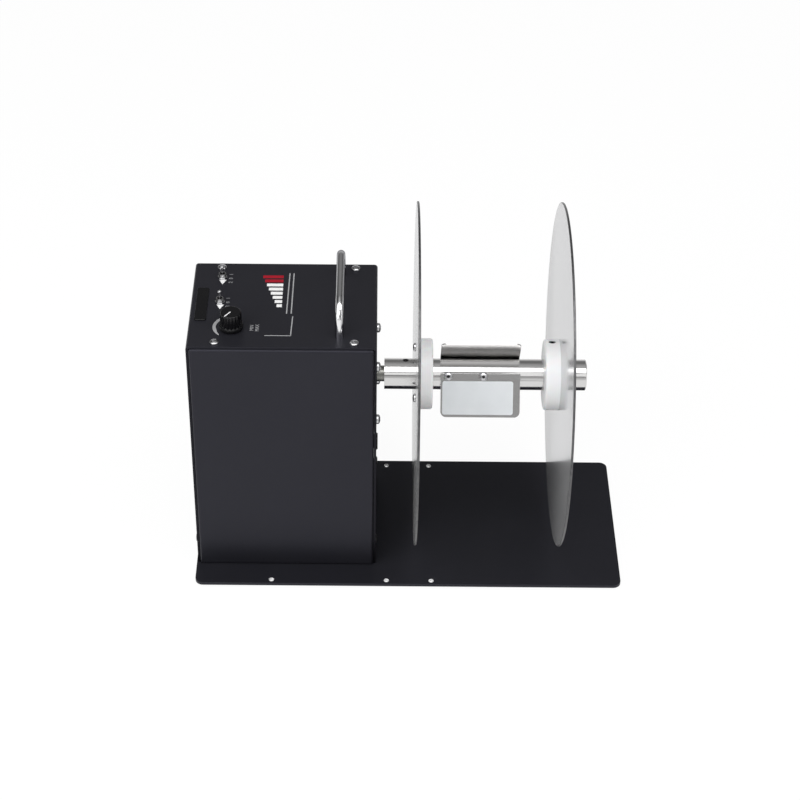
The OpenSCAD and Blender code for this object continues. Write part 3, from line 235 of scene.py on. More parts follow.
def noise_of(tree, vector, scale, detail=3.0):
    """A noise texture on a vector socket; the scale is a socket or a number."""
    made = node(tree, "ShaderNodeTexNoise")
    made.inputs["Detail"].default_value = detail
    made.inputs["Roughness"].default_value = 0.55
    wire(tree, (vector, made.inputs["Vector"]))
    if isinstance(scale, float):
        made.inputs["Scale"].default_value = scale
    else:
        wire(tree, (scale, made.inputs["Scale"]))
    return made.outputs["Fac"]


def object_place(tree):
    """The socket of the Object coordinates."""
    return node(tree, "ShaderNodeTexCoord").outputs["Object"]


speckle, gin, gout = shader_group("speckle", [("Grain", 2200.0), ("Patch", 14.0)], ["Height", "Tone"])
coords = object_place(speckle)
wire(speckle,
     (noise_of(speckle, coords, gin.outputs["Grain"], 2.0), gout.inputs["Height"]),
     (noise_of(speckle, coords, gin.outputs["Patch"], 4.0), gout.inputs["Tone"]))
print("speckle group:", len(speckle.nodes), "nodes")

# %% [markdown]
# Brushed sheet has a straight grain. The same noise makes it when its coordinates are stretched: little
# change along X, where the belt ran, and very much across.

# %% Brushing
brushing, gin, gout = shader_group("brushing", [("Along", 30.0), ("Across", 5200.0)], ["Streak"])
scales = node(brushing, "ShaderNodeCombineXYZ")
stretch = node(brushing, "ShaderNodeVectorMath", operation="MULTIPLY")
wire(brushing,
     (gin.outputs["Along"], scales.inputs[0]), (gin.outputs["Across"], scales.inputs[1]),
     (gin.outputs["Across"], scales.inputs[2]), (object_place(brushing), stretch.inputs[0]),
     (scales.outputs[0], stretch.inputs[1]),
     (noise_of(brushing, stretch.outputs[0], 1.0), gout.inputs["Streak"]))
print("brushing group:", len(brushing.nodes), "nodes")

# %% [markdown]
# A lathe leaves rings on a face and fine steps along a shaft. One noise reads the distance from the spindle's
# axis and another the way along it, so the marks stay true to the axis on every turned piece.

# %% Turning
AXIS_HEIGHT = 173.5
AXIS_Z = AXIS_HEIGHT * mm
turning, gin, gout = shader_group("turning", [("Rings", 3000.0), ("Steps", 1500.0)], ["Ring", "Step"])
centred = node(turning, "ShaderNodeVectorMath", operation="SUBTRACT")
centred.inputs[1].default_value = (0, 0, AXIS_Z)
parts = node(turning, "ShaderNodeSeparateXYZ")
flat = node(turning, "ShaderNodeCombineXYZ")
distance = node(turning, "ShaderNodeVectorMath", operation="LENGTH")
wire(turning,
     (object_place(turning), centred.inputs[0]), (centred.outputs[0], parts.inputs[0]),
     (parts.outputs[1], flat.inputs[1]), (parts.outputs[2], flat.inputs[2]),
     (flat.outputs[0], distance.inputs[0]))
for source, rate, mask in ((distance.outputs["Value"], "Rings", "Ring"), (parts.outputs[0], "Steps", "Step")):
    marks = node(turning, "ShaderNodeTexNoise", noise_dimensions="1D")
    marks.inputs["Detail"].default_value = 3.0
    wire(turning,
         (source, marks.inputs["W"]), (gin.outputs[rate], marks.inputs["Scale"]),
         (marks.outputs["Fac"], gout.inputs[mask]))
print("turning group:", len(turning.nodes), "nodes")

# %% [markdown]
# ## Finishes
# Every finish is a Principled shader. A helper sets its plain numbers on the sockets, and three small helpers
# let an effect change the colour, the roughness or the relief, so a finish reads as a short recipe.

# %% Helpers for finishes
finishes = {}


def finish(name, color, rough, metallic=0.0, **plain):
    """A Principled material with plain socket values; returns its tree and shader."""
    mat = bpy.data.materials.new(name)
    mat.use_nodes = True
    shader = mat.node_tree.nodes["Principled BSDF"]
    shader.inputs["Base Color"].default_value = (*color, 1)
    shader.inputs["Roughness"].default_value = rough
    shader.inputs["Metallic"].default_value = metallic
    for label, value in plain.items():
        shader.inputs[label.replace("_", " ")].default_value = value
    finishes[name] = mat
    return mat.node_tree, shader


def effect(tree, group, **values):
    """Places a shared effect in a material with its own values."""
    made = node(tree, "ShaderNodeGroup", node_tree=group)
    for label, value in values.items():
        made.inputs[label].default_value = value
    return made


def map_range(tree, source, low, high, to_low=0.0, to_high=1.0):
    """A Map Range node on a socket; returns its result."""
    ramp = node(tree, "ShaderNodeMapRange")
    for label, value in (("From Min", low), ("From Max", high), ("To Min", to_low), ("To Max", to_high)):
        ramp.inputs[label].default_value = value
    wire(tree, (source, ramp.inputs["Value"]))
    return ramp.outputs["Result"]


MASK_LOW, MASK_HIGH = 0.3, 0.7


def vary_rough(tree, shader, mask, low, high):
    """Lets a mask move the roughness between two values."""
    wire(tree, (map_range(tree, mask, MASK_LOW, MASK_HIGH, low, high), shader.inputs["Roughness"]))


def vary_color(tree, shader, mask, dark, light):
    """Lets a mask move the colour between two tones."""
    ramp = node(tree, "ShaderNodeValToRGB")
    first, last = ramp.color_ramp.elements
    first.position, first.color = MASK_LOW, (*dark, 1)
    last.position, last.color = MASK_HIGH, (*light, 1)
    wire(tree, (mask, ramp.inputs["Fac"]), (ramp.outputs["Color"], shader.inputs["Base Color"]))


def relief(tree, shader, height, depth):
    """Gives the surface a fine relief of about this depth in millimetres."""
    bump = node(tree, "ShaderNodeBump")
    bump.inputs["Distance"].default_value = depth * mm
    bump.inputs["Strength"].default_value = 1.0
    wire(tree, (height, bump.inputs["Height"]), (bump.outputs["Normal"], shader.inputs["Normal"]))


def speckled(name, color, rough, metallic=0.0, grain=2500.0, patch=400.0,
             tones=None, roughs=None, depth=None, **plain):
    """A finish whose colour, roughness or relief follows the speckle effect."""
    tree, shader = finish(name, color, rough, metallic, **plain)
    made = effect(tree, speckle, Grain=grain, Patch=patch)
    if tones:
        vary_color(tree, shader, made.outputs["Tone"], *tones)
    if roughs:
        vary_rough(tree, shader, made.outputs["Tone"], *roughs)
    if depth:
        relief(tree, shader, made.outputs["Height"], depth)
    return tree, shader


print("effects ready:", [group.name for group in bpy.data.node_groups])

# %% [markdown]
# ### Paint
# The sheet metal is powder-coated: nearly black, a little blue in its sheen, with a soft orange peel. A
# second finish paints shade on the front and back edges of the cover's walls. It is nearly black below the
# bend at the top, for the dark groove beside the panels. It reads the height from Object coordinates, because
# one flat face runs round all sides.

# %% Paint and the painted shade on the cover's edges
PAINT_TONES = ((0.0122, 0.0122, 0.0153), (0.0142, 0.0142, 0.0177))
PAINT_SHEEN = (0.8, 0.8, 1, 1)
PAINT_GRAIN = {"grain": 1500.0, "patch": 9.0, "roughs": (0.36, 0.44)}
speckled("black_paint", (0.0132, 0.0132, 0.0165), 0.4, tones=PAINT_TONES, depth=0.012, **PAINT_GRAIN,
         Specular_IOR_Level=0.26, Specular_Tint=PAINT_SHEEN)

# Painted shade: the cover's wall edges are nearly black below the top bend, for the dark groove beside the
# panels.
EDGE_SHADE_TONE, BEND_LOW, BEND_HIGH = (0.003, 0.003, 0.0036), 242 * mm, 244 * mm
tree, shader = speckled("edge_painted_shade", EDGE_SHADE_TONE, 0.4, **PAINT_GRAIN,
                        Specular_IOR_Level=0.22, Specular_Tint=PAINT_SHEEN)
parts = node(tree, "ShaderNodeSeparateXYZ")
wire(tree, (object_place(tree), parts.inputs[0]))
above_bend = map_range(tree, parts.outputs["Z"], BEND_LOW, BEND_HIGH)
vary_color(tree, shader, above_bend, EDGE_SHADE_TONE, PAINT_TONES[1])
print("paint in", len(finishes), "finishes")

# %% [markdown]
# ### Plastics, film, rubber and ink
# The knob and the plug are moulded in glossy black. The hubs are turned from white bar, so they take the
# lathe effect and let a little light in. The sticker is a coated film. The inks lie dull on the paint.

# %% Plastics and inks
speckled("black_plastic", (0.003, 0.003, 0.0036), 0.2, grain=2600.0, patch=60.0, roughs=(0.16, 0.26),
         depth=0.003, Specular_IOR_Level=0.3)
speckled("pale_sticker", (0.77, 0.8, 0.82), 0.36, grain=900.0, patch=40.0,
         tones=((0.74, 0.77, 0.79), (0.8, 0.83, 0.85)), Coat_Weight=0.2)
speckled("foot_rubber", (0.015, 0.015, 0.015), 0.75, grain=1800.0, patch=50.0, depth=0.05)

tree, shader = finish("white_plastic", (0.92, 0.925, 0.93), 0.4,
                      Subsurface_Weight=0.1, Subsurface_Scale=0.002)
lathe_marks = effect(tree, turning, Rings=2200.0, Steps=1800.0)
vary_color(tree, shader, lathe_marks.outputs["Step"], (0.9, 0.905, 0.91), (0.94, 0.945, 0.95))
relief(tree, shader, lathe_marks.outputs["Ring"], 0.008)

INKS = {"white_ink": (0.86, 0.86, 0.86), "red_ink": (0.34, 0.006, 0.018), "grey_ink": (0.36, 0.36, 0.37)}
for name, ink in INKS.items():
    thin_ink = [channel * 0.92 for channel in ink]
    speckled(name, ink, 0.5, grain=3000.0, patch=300.0, tones=(thin_ink, ink), Specular_IOR_Level=0.2)
print(len(finishes), "finishes so far")

# %% [markdown]
# ### Metals
# A metal's colour is what it reflects straight on, and its specular tint what it reflects at a shallow angle.
# A dark tint draws the grey outline that a chrome rod or a bent fin shows against white. Turned and brushed
# metal get their own effect; the flanges are only part metal, because fine grain scatters some of the light.

# %% Metals
speckled("chrome_rod", (0.84, 0.84, 0.85), 0.12, 1.0, grain=1200.0, patch=70.0, roughs=(0.09, 0.16),
         Specular_Tint=(0.15, 0.15, 0.16, 1))
speckled("lever_nickel", (0.42, 0.42, 0.43), 0.34, 1.0, grain=2000.0, patch=300.0, roughs=(0.3, 0.4))
speckled("bright_screws", (0.62, 0.62, 0.63), 0.2, 1.0, roughs=(0.14, 0.28), depth=0.004)
speckled("button_screws", (0.55, 0.55, 0.56), 0.26, 1.0, roughs=(0.2, 0.32),
         Specular_Tint=(0.05, 0.05, 0.05, 1))
# dark_screws also paints shade inside the hexagon sockets of the fin screws.
speckled("dark_screws", (0.03, 0.03, 0.032), 0.38, 0.7, roughs=(0.3, 0.5))
# Painted light: the near-white walls of the bench holes stand in for the bright floor seen through them.
speckled("hole_painted_light", (0.92, 0.92, 0.92), 0.5, 0.1, patch=300.0, roughs=(0.4, 0.6))
speckled("flange_rim", (0.13, 0.13, 0.133), 0.42, 0.9, grain=1800.0, patch=300.0,
         tones=((0.09, 0.09, 0.093), (0.17, 0.17, 0.173)))
speckled("flange_aluminium", (0.7, 0.7, 0.705), 0.19, 0.6, grain=4200.0, patch=1100.0,
         tones=((0.64, 0.64, 0.645), (0.76, 0.76, 0.765)), roughs=(0.17, 0.21), depth=0.0012,
         Specular_Tint=(0.78, 0.78, 0.79, 1))

tree, shader = finish("polished_steel", (0.66, 0.655, 0.65), 0.14, 1.0)
lathe_marks = effect(tree, turning, Rings=1500.0, Steps=2600.0)
vary_rough(tree, shader, lathe_marks.outputs["Step"], 0.11, 0.17)
relief(tree, shader, lathe_marks.outputs["Step"], 0.001)

tree, shader = finish("fin_stainless", (0.66, 0.655, 0.65), 0.16, 1.0, Specular_Tint=(0.5, 0.5, 0.51, 1))
belt_marks = effect(tree, brushing, Along=25.0, Across=4200.0)
vary_rough(tree, shader, belt_marks.outputs["Streak"], 0.13, 0.2)
relief(tree, shader, belt_marks.outputs["Streak"], 0.0012)
print(len(finishes), "finishes so far")

# %% [markdown]
# ### Inside the housing
# Most of these pieces show only with the cover off; the threads of the controls are zinc too. One loop is
# enough: a colour, a roughness and a share of metal each, all with the same fine speckle. Then every CAD
# node takes the finish that the record names for it.

# %% Finishes of the pieces inside
INSIDE = {
    "zinc_steel": ((0.38, 0.38, 0.385), 0.3, 1.0), "drive_aluminium": ((0.6, 0.61, 0.62), 0.38, 1.0),
    "shaft_steel": ((0.3, 0.3, 0.28), 0.28, 1.0), "gear_steel": ((0.42, 0.42, 0.42), 0.33, 1.0),
    "rotor_steel": ((0.35, 0.2, 0.12), 0.45, 0.8), "brass_parts": ((0.66, 0.5, 0.2), 0.3, 1.0),
    "motor_paint": ((0.07, 0.07, 0.075), 0.5, 0.0), "magnet": ((0.05, 0.05, 0.055), 0.7, 0.0),
    "board_green": ((0.02, 0.1, 0.045), 0.4, 0.0), "component_blue": ((0.03, 0.07, 0.2), 0.4, 0.0),
}
for name, (color, rough, metallic) in INSIDE.items():
    speckled(name, color, rough, metallic, grain=1800.0, patch=120.0,
             roughs=(rough * 0.8, rough * 1.25), depth=0.01)

SLOT_OF = {part["node"]: part["material_slot"] for part in frame["record"]["subparts"]}
for name, slot in SLOT_OF.items():
    nodes[name].data.materials.clear()
    nodes[name].data.materials.append(finishes[slot])
print(f"{len(finishes)} finishes, every CAD node has its own")

# %% [markdown]
# ## Broken edges
# Sheet metal and moulded plastic never end in a perfectly sharp edge: a small round there catches a thin line
# of light. The edges could be modelled one by one, but the CAD solids already have the right shape, so each
# visible one is copied, its triangles are merged, and a Bevel modifier rounds every edge that turns sharply.

# %% Helpers for pieces
BODY_OF = {name: body for body, names in frame["record"]["behaviour"]["bodies"].items() for name in names}


def bake(ob):
    """Turns what an object's modifiers make into its plain mesh."""
    bpy.context.view_layer.update()
    deps = bpy.context.evaluated_depsgraph_get()
    shown = ob.evaluated_get(deps)
    mesh = bpy.data.meshes.new_from_object(shown, preserve_all_data_layers=True, depsgraph=deps)
    ob.modifiers.clear()
    ob.data = mesh
    return ob


def settle(ob, body, slot, *stands_for):
    """Puts a finished piece on the body it rides on and hides the CAD nodes it stands for; slot is not used.
    """
    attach(ob, body)
    if stands_for:
        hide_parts(*stands_for)
    return ob


def mesh_object(name, bm):
    """A linked object from a bmesh."""
    mesh = bpy.data.meshes.new(name)
    bm.to_mesh(mesh)
    bm.free()
    ob = bpy.data.objects.new(name, mesh)
    scene.collection.objects.link(ob)
    return ob


def smooth_to(ob, sharp):
    """Shades an object smooth except at edges that turn by more than an angle."""
    ob.data.shade_smooth()
    ob.data.set_sharp_from_angle(angle=math.radians(sharp))
    return ob


def new_piece(name, bm, material, sharp=35):
    """A piece from a bmesh with its finish, smooth except at edges sharper than an angle."""
    ob = mesh_object(name, bm)
    ob.data.materials.append(finishes[material])
    return smooth_to(ob, sharp)


def paint_faces(ob, material, chosen):
    """Gives the faces that a test chooses a finish of their own."""
    mesh = ob.data
    mesh.materials.append(finishes[material])
    picked = [face for face in mesh.polygons if chosen(face)]
    for face in picked:
        face.material_index = len(mesh.materials) - 1
    print(f"{ob.name}: {len(picked)} faces in {material}")


print(len(BODY_OF), "nodes have a body")


# %% Copies of the CAD solids with rounded edges
def merged_copy(name):
    """The CAD node's triangles as one closed bmesh with its flat faces whole."""
    bm = bmesh.new()
    bm.from_mesh(nodes[name].data)
    bmesh.ops.remove_doubles(bm, verts=bm.verts, dist=0.002 * mm)
    bmesh.ops.dissolve_limit(bm, angle_limit=math.radians(0.3), verts=bm.verts, edges=bm.edges)
    return bm


def soft_copy(name, width, limit=35, segments=2):
    """A copy of a CAD node with its edges rounded by a width in millimetres; it stands for the node."""
    ob = new_piece(name + "_soft", merged_copy(name), SLOT_OF[name], limit)
    round_off = ob.modifiers.new("round_off", "BEVEL")
    round_off.width, round_off.segments = width * mm, segments
    round_off.limit_method, round_off.angle_limit = "ANGLE", math.radians(limit)
    round_off.miter_outer = "MITER_ARC"
    even = ob.modifiers.new("even_shading", "WEIGHTED_NORMAL")
    even.keep_sharp = True
    return settle(bake(ob), BODY_OF[name], SLOT_OF[name], name)


SOFT_EDGES = {
    "base_plate": 0.4, "front_panel": 0.15, "rear_panel": 0.15, "cover": 0.2, "nameplate": 0.3,
    "hole_plug": 0.3, "power_jack": 0.3, "control_nuts": 0.25, "spindle": 0.25, "inner_hub": 0.3,
    "outer_hub": 0.3, "front_fin": 0.2, "upper_fin": 0.2, "rear_fin": 0.2, "rubber_feet": 0.5,
}
soft = {name: soft_copy(name, width) for name, width in SOFT_EDGES.items()}
print({name: len(ob.data.polygons) for name, ob in soft.items()})

# %% [markdown]
# ## Painted light in the bench holes and painted shade on the cover's edges
# The walls of the bench holes are painted near white: painted light for the bright floor seen through them.
# The front and back edges of the cover's walls get painted shade for the dark groove beside the panels.
# These faces could be pieces of their own. It is simpler to pick them out by their place and their direction
# and to give them a second material.

# %% Bench holes and cut edges
HOLES = [Vector((x, y)) * mm for x in (-122, -19.5, 20.5) for y in (-84, 77.5)]
HOLE_REACH, EDGE_REACH, FACING = 2.5 * mm, 0.6 * mm, 0.3
cover_ys = [corner.co.y for corner in soft["cover"].data.vertices]


def in_hole(face):
    """True for a face of the base plate that belongs to a bench hole."""
    return min((face.center.xy - hole).length for hole in HOLES) < HOLE_REACH


def on_cut_edge(face):
    """True for a face of the cover that looks to the front or the back, at its very ends."""
    end = min(abs(face.center.y - y) for y in (min(cover_ys), max(cover_ys)))
    return end < EDGE_REACH and abs(face.normal.y) > FACING and face.center.z < BEND_LOW


# Painted light on the walls of the bench holes.
paint_faces(soft["base_plate"], "hole_painted_light", in_hole)
# Painted shade on the front and back edges of the cover's walls.
paint_faces(soft["cover"], "edge_painted_shade", on_cut_edge)

# %% [markdown]
# ## Round pieces
# Flanges, levers and bushings are turned on a lathe, so they are drawn as a half profile and swept around
# their axis. A fine sweep keeps the rim of the large flanges round where the light runs along it.

# %% Lathe
def polar(radius, angle, height):
    """A point in metres from a radius, an angle and a height in millimetres."""
    return radius * mm * math.cos(angle), radius * mm * math.sin(angle), height * mm


def lathe(profile, segments=64, closed=False):
    """Sweeps (radius, height) points around Z; a radius of 0 becomes a pole."""
    bm = bmesh.new()
    angles = [2 * math.pi * i / segments for i in range(segments)]
    rings = []
    for radius, height in profile:
        around_axis = angles if radius > 1e-9 else [0]
        rings.append([bm.verts.new(polar(radius, a, height)) for a in around_axis])
    pairs = list(zip(rings, rings[1:])) + ([(rings[-1], rings[0])] if closed else [])
    for low, high in pairs:
        for i in range(segments):
            k = i + 1
            quad = [low[i % len(low)], low[k % len(low)], high[k % len(high)], high[i % len(high)]]
            corners = list(dict.fromkeys(quad))
            if len(corners) > 2:
                bm.faces.new(corners)
    bmesh.ops.recalc_face_normals(bm, faces=bm.faces)
    return bm


def arc(center, radius, start, end, steps=6):
    """Points on an arc in the profile plane, angles in degrees from +radius towards +height."""
    angles = [math.radians(start + (end - start) * i / steps) for i in range(steps + 1)]
    return [(center[0] + radius * math.cos(a), center[1] + radius * math.sin(a)) for a in angles]


print("lathe and arc are ready")

# %% Flanges
FLANGE_RADIUS, FLANGE_THICK, FLANGE_SIDES = 150, 2, 256
RIM_ROUND, RIM_REACH = 0.7, 0.8
BORE_RADIUS, BORE_BREAK = 13.95, 0.15
FLANGE_LEFT = {"inner_flange": 4.2, "outer_flange": 129.2}
TO_AXIS = Matrix.Translation((0, 0, AXIS_Z)) @ Matrix.Rotation(math.radians(90), 4, "Y")


def on_rim(face):
    """True for a face of the sawn and dull rim of a flange."""
    return math.hypot(face.center.y, face.center.z - AXIS_Z) > (FLANGE_RADIUS - RIM_REACH) * mm


for name, left in FLANGE_LEFT.items():
    far, rim_at = left + FLANGE_THICK, FLANGE_RADIUS - RIM_ROUND
    near_rim = arc((rim_at, left + RIM_ROUND), RIM_ROUND, -90, 0)
    far_rim = arc((rim_at, far - RIM_ROUND), RIM_ROUND, 0, 90)
    near_bore = [(BORE_RADIUS, left + BORE_BREAK), (BORE_RADIUS + BORE_BREAK, left)]
    far_bore = [(BORE_RADIUS + BORE_BREAK, far), (BORE_RADIUS, far - BORE_BREAK)]
    bm = lathe(near_bore + near_rim + far_rim + far_bore, FLANGE_SIDES, True)
    bm.transform(TO_AXIS)
    disc = new_piece(name + "_disc", bm, SLOT_OF[name], 30)
    paint_faces(disc, "flange_rim", on_rim)
    settle(disc, BODY_OF[name], SLOT_OF[name], name)

# %% [markdown]
# ## The handle
# The handle is one bright rod with two bends. It follows a path, so Geometry Nodes sweep it: four points are
# joined to a curve, its corners are filleted, and a circle runs along it. The sizes are inputs of the tree.

# %% Helpers for Geometry Nodes
def node_tree(name, inputs):
    """A Geometry Nodes tree with a geometry input and named extra inputs (name, kind, value)."""
    tree = bpy.data.node_groups.new(name, "GeometryNodeTree")
    tree.interface.new_socket("Geometry", in_out="INPUT", socket_type="NodeSocketGeometry")
    for label, kind, value in inputs:
        socket = tree.interface.new_socket(label, in_out="INPUT", socket_type="NodeSocket" + kind)
        if value is not None:
            socket.default_value = value
    tree.interface.new_socket("Geometry", in_out="OUTPUT", socket_type="NodeSocketGeometry")
    return tree, tree.nodes.new("NodeGroupInput"), tree.nodes.new("NodeGroupOutput")


def close_tree(tree, gin, gout, geometry):
    """Ends a tree in Realize Instances and Set Material."""
    real = node(tree, "GeometryNodeRealizeInstances")
    paint = node(tree, "GeometryNodeSetMaterial")
    wire(tree,
         (geometry, real.inputs["Geometry"]), (real.outputs["Geometry"], paint.inputs["Geometry"]),
         (gin.outputs["Finish"], paint.inputs["Material"]),
         (paint.outputs["Geometry"], gout.inputs["Geometry"]))
    print(f"tree {tree.name}: {len(tree.nodes)} nodes")


def run_tree(name, tree, points, edges=(), attributes=(), **values):
    """Runs a tree on some points (in millimetres) and returns the object with the plain mesh it made."""
    mesh = bpy.data.meshes.new(name)
    mesh.from_pydata([Vector(p) * mm for p in points], list(edges), [])
    for label, kind, key, data in attributes:
        layer = mesh.attributes.new(label, kind, "POINT")
        for item, value in zip(layer.data, data):
            setattr(item, key, value)
    ob = bpy.data.objects.new(name, mesh)
    scene.collection.objects.link(ob)
    maker = ob.modifiers.new("maker", "NODES")
    maker.node_group = tree
    sockets = [item for item in tree.interface.items_tree if item.item_type == "SOCKET"]
    identifiers = {item.name: item.identifier for item in sockets if item.in_out == "INPUT"}
    for label, value in values.items():
        maker[identifiers[label.replace("_", " ")]] = value
    return bake(ob)


print("helpers for trees are ready")

# %% Swept handle
COVER_TOP = 245.5
ROD_RADIUS, BEND_RADIUS = 3.6, 16.5
HANDLE_X, HANDLE_FOOT, HANDLE_TOP = -60.8, 46, 278.7 - ROD_RADIUS
sweep, gin, gout = node_tree("rod_sweep", [
    ("Rod Radius", "Float", ROD_RADIUS * mm), ("Bend Radius", "Float", BEND_RADIUS * mm),
    ("Bend Steps", "Int", 24), ("Sides", "Int", 40), ("Finish", "Material", None)])
route = node(sweep, "GeometryNodeMeshToCurve")
bends = node(sweep, "GeometryNodeFilletCurve", mode="POLY")
bends.inputs["Limit Radius"].default_value = True
circle = node(sweep, "GeometryNodeCurvePrimitiveCircle", mode="RADIUS")
tube = node(sweep, "GeometryNodeCurveToMesh")
tube.inputs["Fill Caps"].default_value = True
smooth = node(sweep, "GeometryNodeSetShadeSmooth")
wire(sweep,
     (gin.outputs["Geometry"], route.inputs["Mesh"]), (route.outputs["Curve"], bends.inputs["Curve"]),
     (gin.outputs["Bend Radius"], bends.inputs["Radius"]),
     (gin.outputs["Bend Steps"], bends.inputs["Count"]),
     (gin.outputs["Rod Radius"], circle.inputs["Radius"]),
     (gin.outputs["Sides"], circle.inputs["Resolution"]),
     (bends.outputs["Curve"], tube.inputs["Curve"]), (circle.outputs["Curve"], tube.inputs["Profile Curve"]),
     (tube.outputs["Mesh"], smooth.inputs["Geometry"]))
close_tree(sweep, gin, gout, smooth.outputs["Geometry"])

bow = [(HANDLE_X, -HANDLE_FOOT, COVER_TOP), (HANDLE_X, -HANDLE_FOOT, HANDLE_TOP),
       (HANDLE_X, HANDLE_FOOT, HANDLE_TOP), (HANDLE_X, HANDLE_FOOT, COVER_TOP)]
handle = run_tree("handle_bow", sweep, bow, [(0, 1), (1, 2), (2, 3)], Finish=finishes["chrome_rod"])
handle.data.set_sharp_from_angle(angle=math.radians(50))
settle(handle, "housing", "chrome_rod", "handle")
print("handle:", len(handle.data.polygons), "faces")

# %% [markdown]
# ## Screws
# Six sets of screws show on the machine. For each set one head is modelled: a lathe profile with its cross
# or its hexagon cut out by a Boolean. A bump could fake the recess, but a cut one keeps its shadow.

# %% Screw heads
CROSS_LENGTH, CROSS_WIDTH, HEXAGON_RADIUS = 0.6, 0.13, 0.19
SIDE_SHARE = {"cross": 0.42, "hexagon": 0.16}
RECESS_MIDDLE = {"cross": 0.95, "hexagon": 0.9}


def recess_cutter(width, height, recess):
    """The bmesh that a recess is cut with; its sizes are shares of the head's width and height."""
    cut = bmesh.new()
    if recess == "cross":
        for turn in (0, 90):
            box = bmesh.ops.create_cube(cut, size=1)["verts"]
            arm = (width * CROSS_LENGTH * mm, width * CROSS_WIDTH * mm, height * mm)
            bmesh.ops.scale(cut, verts=box, vec=arm)
            quarter = Matrix.Rotation(math.radians(turn), 3, "Z")
            bmesh.ops.rotate(cut, verts=box, cent=(0, 0, 0), matrix=quarter)
    else:
        radius = width * HEXAGON_RADIUS * mm
        bmesh.ops.create_cone(cut, cap_ends=True, segments=6, depth=height * mm,
                              radius1=radius, radius2=radius)
    bmesh.ops.translate(cut, verts=cut.verts, vec=(0, 0, height * RECESS_MIDDLE[recess] * mm))
    return cut


def screw_head(name, width, height, shank, length, recess):
    """A screw along Z with its head above 0; the recess is "cross" or "hexagon"."""
    r, s, side = width / 2, shank / 2, SIDE_SHARE[recess]
    climb = [math.radians(9 * i) for i in range(10)]
    dome = [(r * math.cos(a), height * (side + (1 - side) * math.sin(a))) for a in climb] + [(0, height)]
    tip = [(0, -length), (s * 0.8, -length), (s, 0.3 * s - length), (s, 0)]
    body = mesh_object(name, lathe(tip + [(r - 0.15, 0), (r, 0.15)] + dome, 40))
    cutter = mesh_object(name + "_cutter", recess_cutter(width, height, recess))
    carve = body.modifiers.new("carve", "BOOLEAN")
    carve.operation, carve.solver, carve.object, carve.use_self = "DIFFERENCE", "EXACT", cutter, True
    bake(body)
    bpy.data.objects.remove(cutter)
    return smooth_to(body, 38)


print("recesses:", ", ".join(RECESS_MIDDLE))

# %% [markdown]
# One tree puts a copy of a head at every place. Each point carries the direction it looks in and a turn about
# that direction, so neighbouring recesses don't line up, as on a machine that was put together by hand.

# %% Tree that sets the screws
setter, gin, gout = node_tree("screw_set", [("Head", "Object", None), ("Finish", "Material", None)])
head_info = node(setter, "GeometryNodeObjectInfo")
aim = node(setter, "GeometryNodeInputNamedAttribute", data_type="FLOAT_VECTOR")
aim.inputs["Name"].default_value = "aim"
spin = node(setter, "GeometryNodeInputNamedAttribute", data_type="FLOAT")
spin.inputs["Name"].default_value = "spin"
point = node(setter, "FunctionNodeAlignRotationToVector", axis="Z")
about = node(setter, "FunctionNodeAxisAngleToRotation")
about.inputs["Axis"].default_value = (0, 0, 1)
roll = node(setter, "FunctionNodeRotateRotation", rotation_space="LOCAL")
copies = node(setter, "GeometryNodeInstanceOnPoints")
wire(setter,
     (gin.outputs["Geometry"], copies.inputs["Points"]), (gin.outputs["Head"], head_info.inputs["Object"]),
     (head_info.outputs["Geometry"], copies.inputs["Instance"]),
     (aim.outputs["Attribute"], point.inputs["Vector"]), (spin.outputs["Attribute"], about.inputs["Angle"]),
     (point.outputs["Rotation"], roll.inputs["Rotation"]),
     (about.outputs["Rotation"], roll.inputs["Rotate By"]),
     (roll.outputs["Rotation"], copies.inputs["Rotation"]))
close_tree(setter, gin, gout, copies.outputs["Instances"])

SOCKET_BOTTOM, SOCKET_TOP, SOCKET_REACH, WALL_LEAN = 0.05, 0.7, 0.2, 0.3


def shade_sockets(ob, kind, places):
    """Paints shade on the walls and floors of hexagon sockets with a dark finish."""
    width, height = kind[0] * mm, kind[1] * mm

    def in_socket(face):
        for seat, out in places:
            away = face.center - seat * mm
            rise = away.dot(out)
            near = rise > SOCKET_BOTTOM * height and (away - rise * out).length < SOCKET_REACH * width
            if near and (abs(face.normal.dot(out)) < WALL_LEAN or rise < SOCKET_TOP * height):
                return True
        return False

    paint_faces(ob, "dark_screws", in_socket)


def set_screws(name, kind, places, metal=None):
    """Puts one kind of screw at (point, direction) places; it stands for a CAD node of screws."""
    head = screw_head(name + "_head", *kind)
    spins = [math.radians((37 * i + 11 * len(name)) % 90) for i in range(len(places))]
    ob = run_tree(name + "_set", setter, [seat for seat, _ in places], (), [
        ("aim", "FLOAT_VECTOR", "vector", [out for _, out in places]), ("spin", "FLOAT", "value", spins)],
        Head=head, Finish=finishes[metal or SLOT_OF[name]])
    bpy.data.objects.remove(head)
    if kind[-1] == "hexagon":
        shade_sockets(ob, kind, places)
    settle(ob, BODY_OF[name], SLOT_OF[name], name)
    print(name, len(places), "screws,", len(ob.data.polygons), "faces")


# %% [markdown]
# Every kind of screw is a line of sizes: the head's width and height, the shank's width and length, and the
# recess. The places are those of the CAD screws: the cover's top, its two walls, the drive behind the right
# wall, both flanges, and two on each fin.

# %% Every set of screws
UP, LEFT, RIGHT = Vector((0, 0, 1)), Vector((-1, 0, 0)), Vector((1, 0, 0))
LEFT_WALL, RIGHT_WALL, SIDE_SCREW_Z = -188.8, -29.3, 30
PAN = (7.6, 2.4, 4.0)
DRIVE_SQUARE = (-28.5, 28.5)
FLANGE_CIRCLE, FIN_SEAT = 25.5, 14.2
THIRDS = (0, 120, 240)


def around(radius, angle, x):
    """A point around the spindle axis, at an angle in degrees from +Y towards +Z, and its direction."""
    out = Vector((0, math.cos(math.radians(angle)), math.sin(math.radians(angle))))
    return Vector((x, radius * out.y, AXIS_HEIGHT + radius * out.z)), out


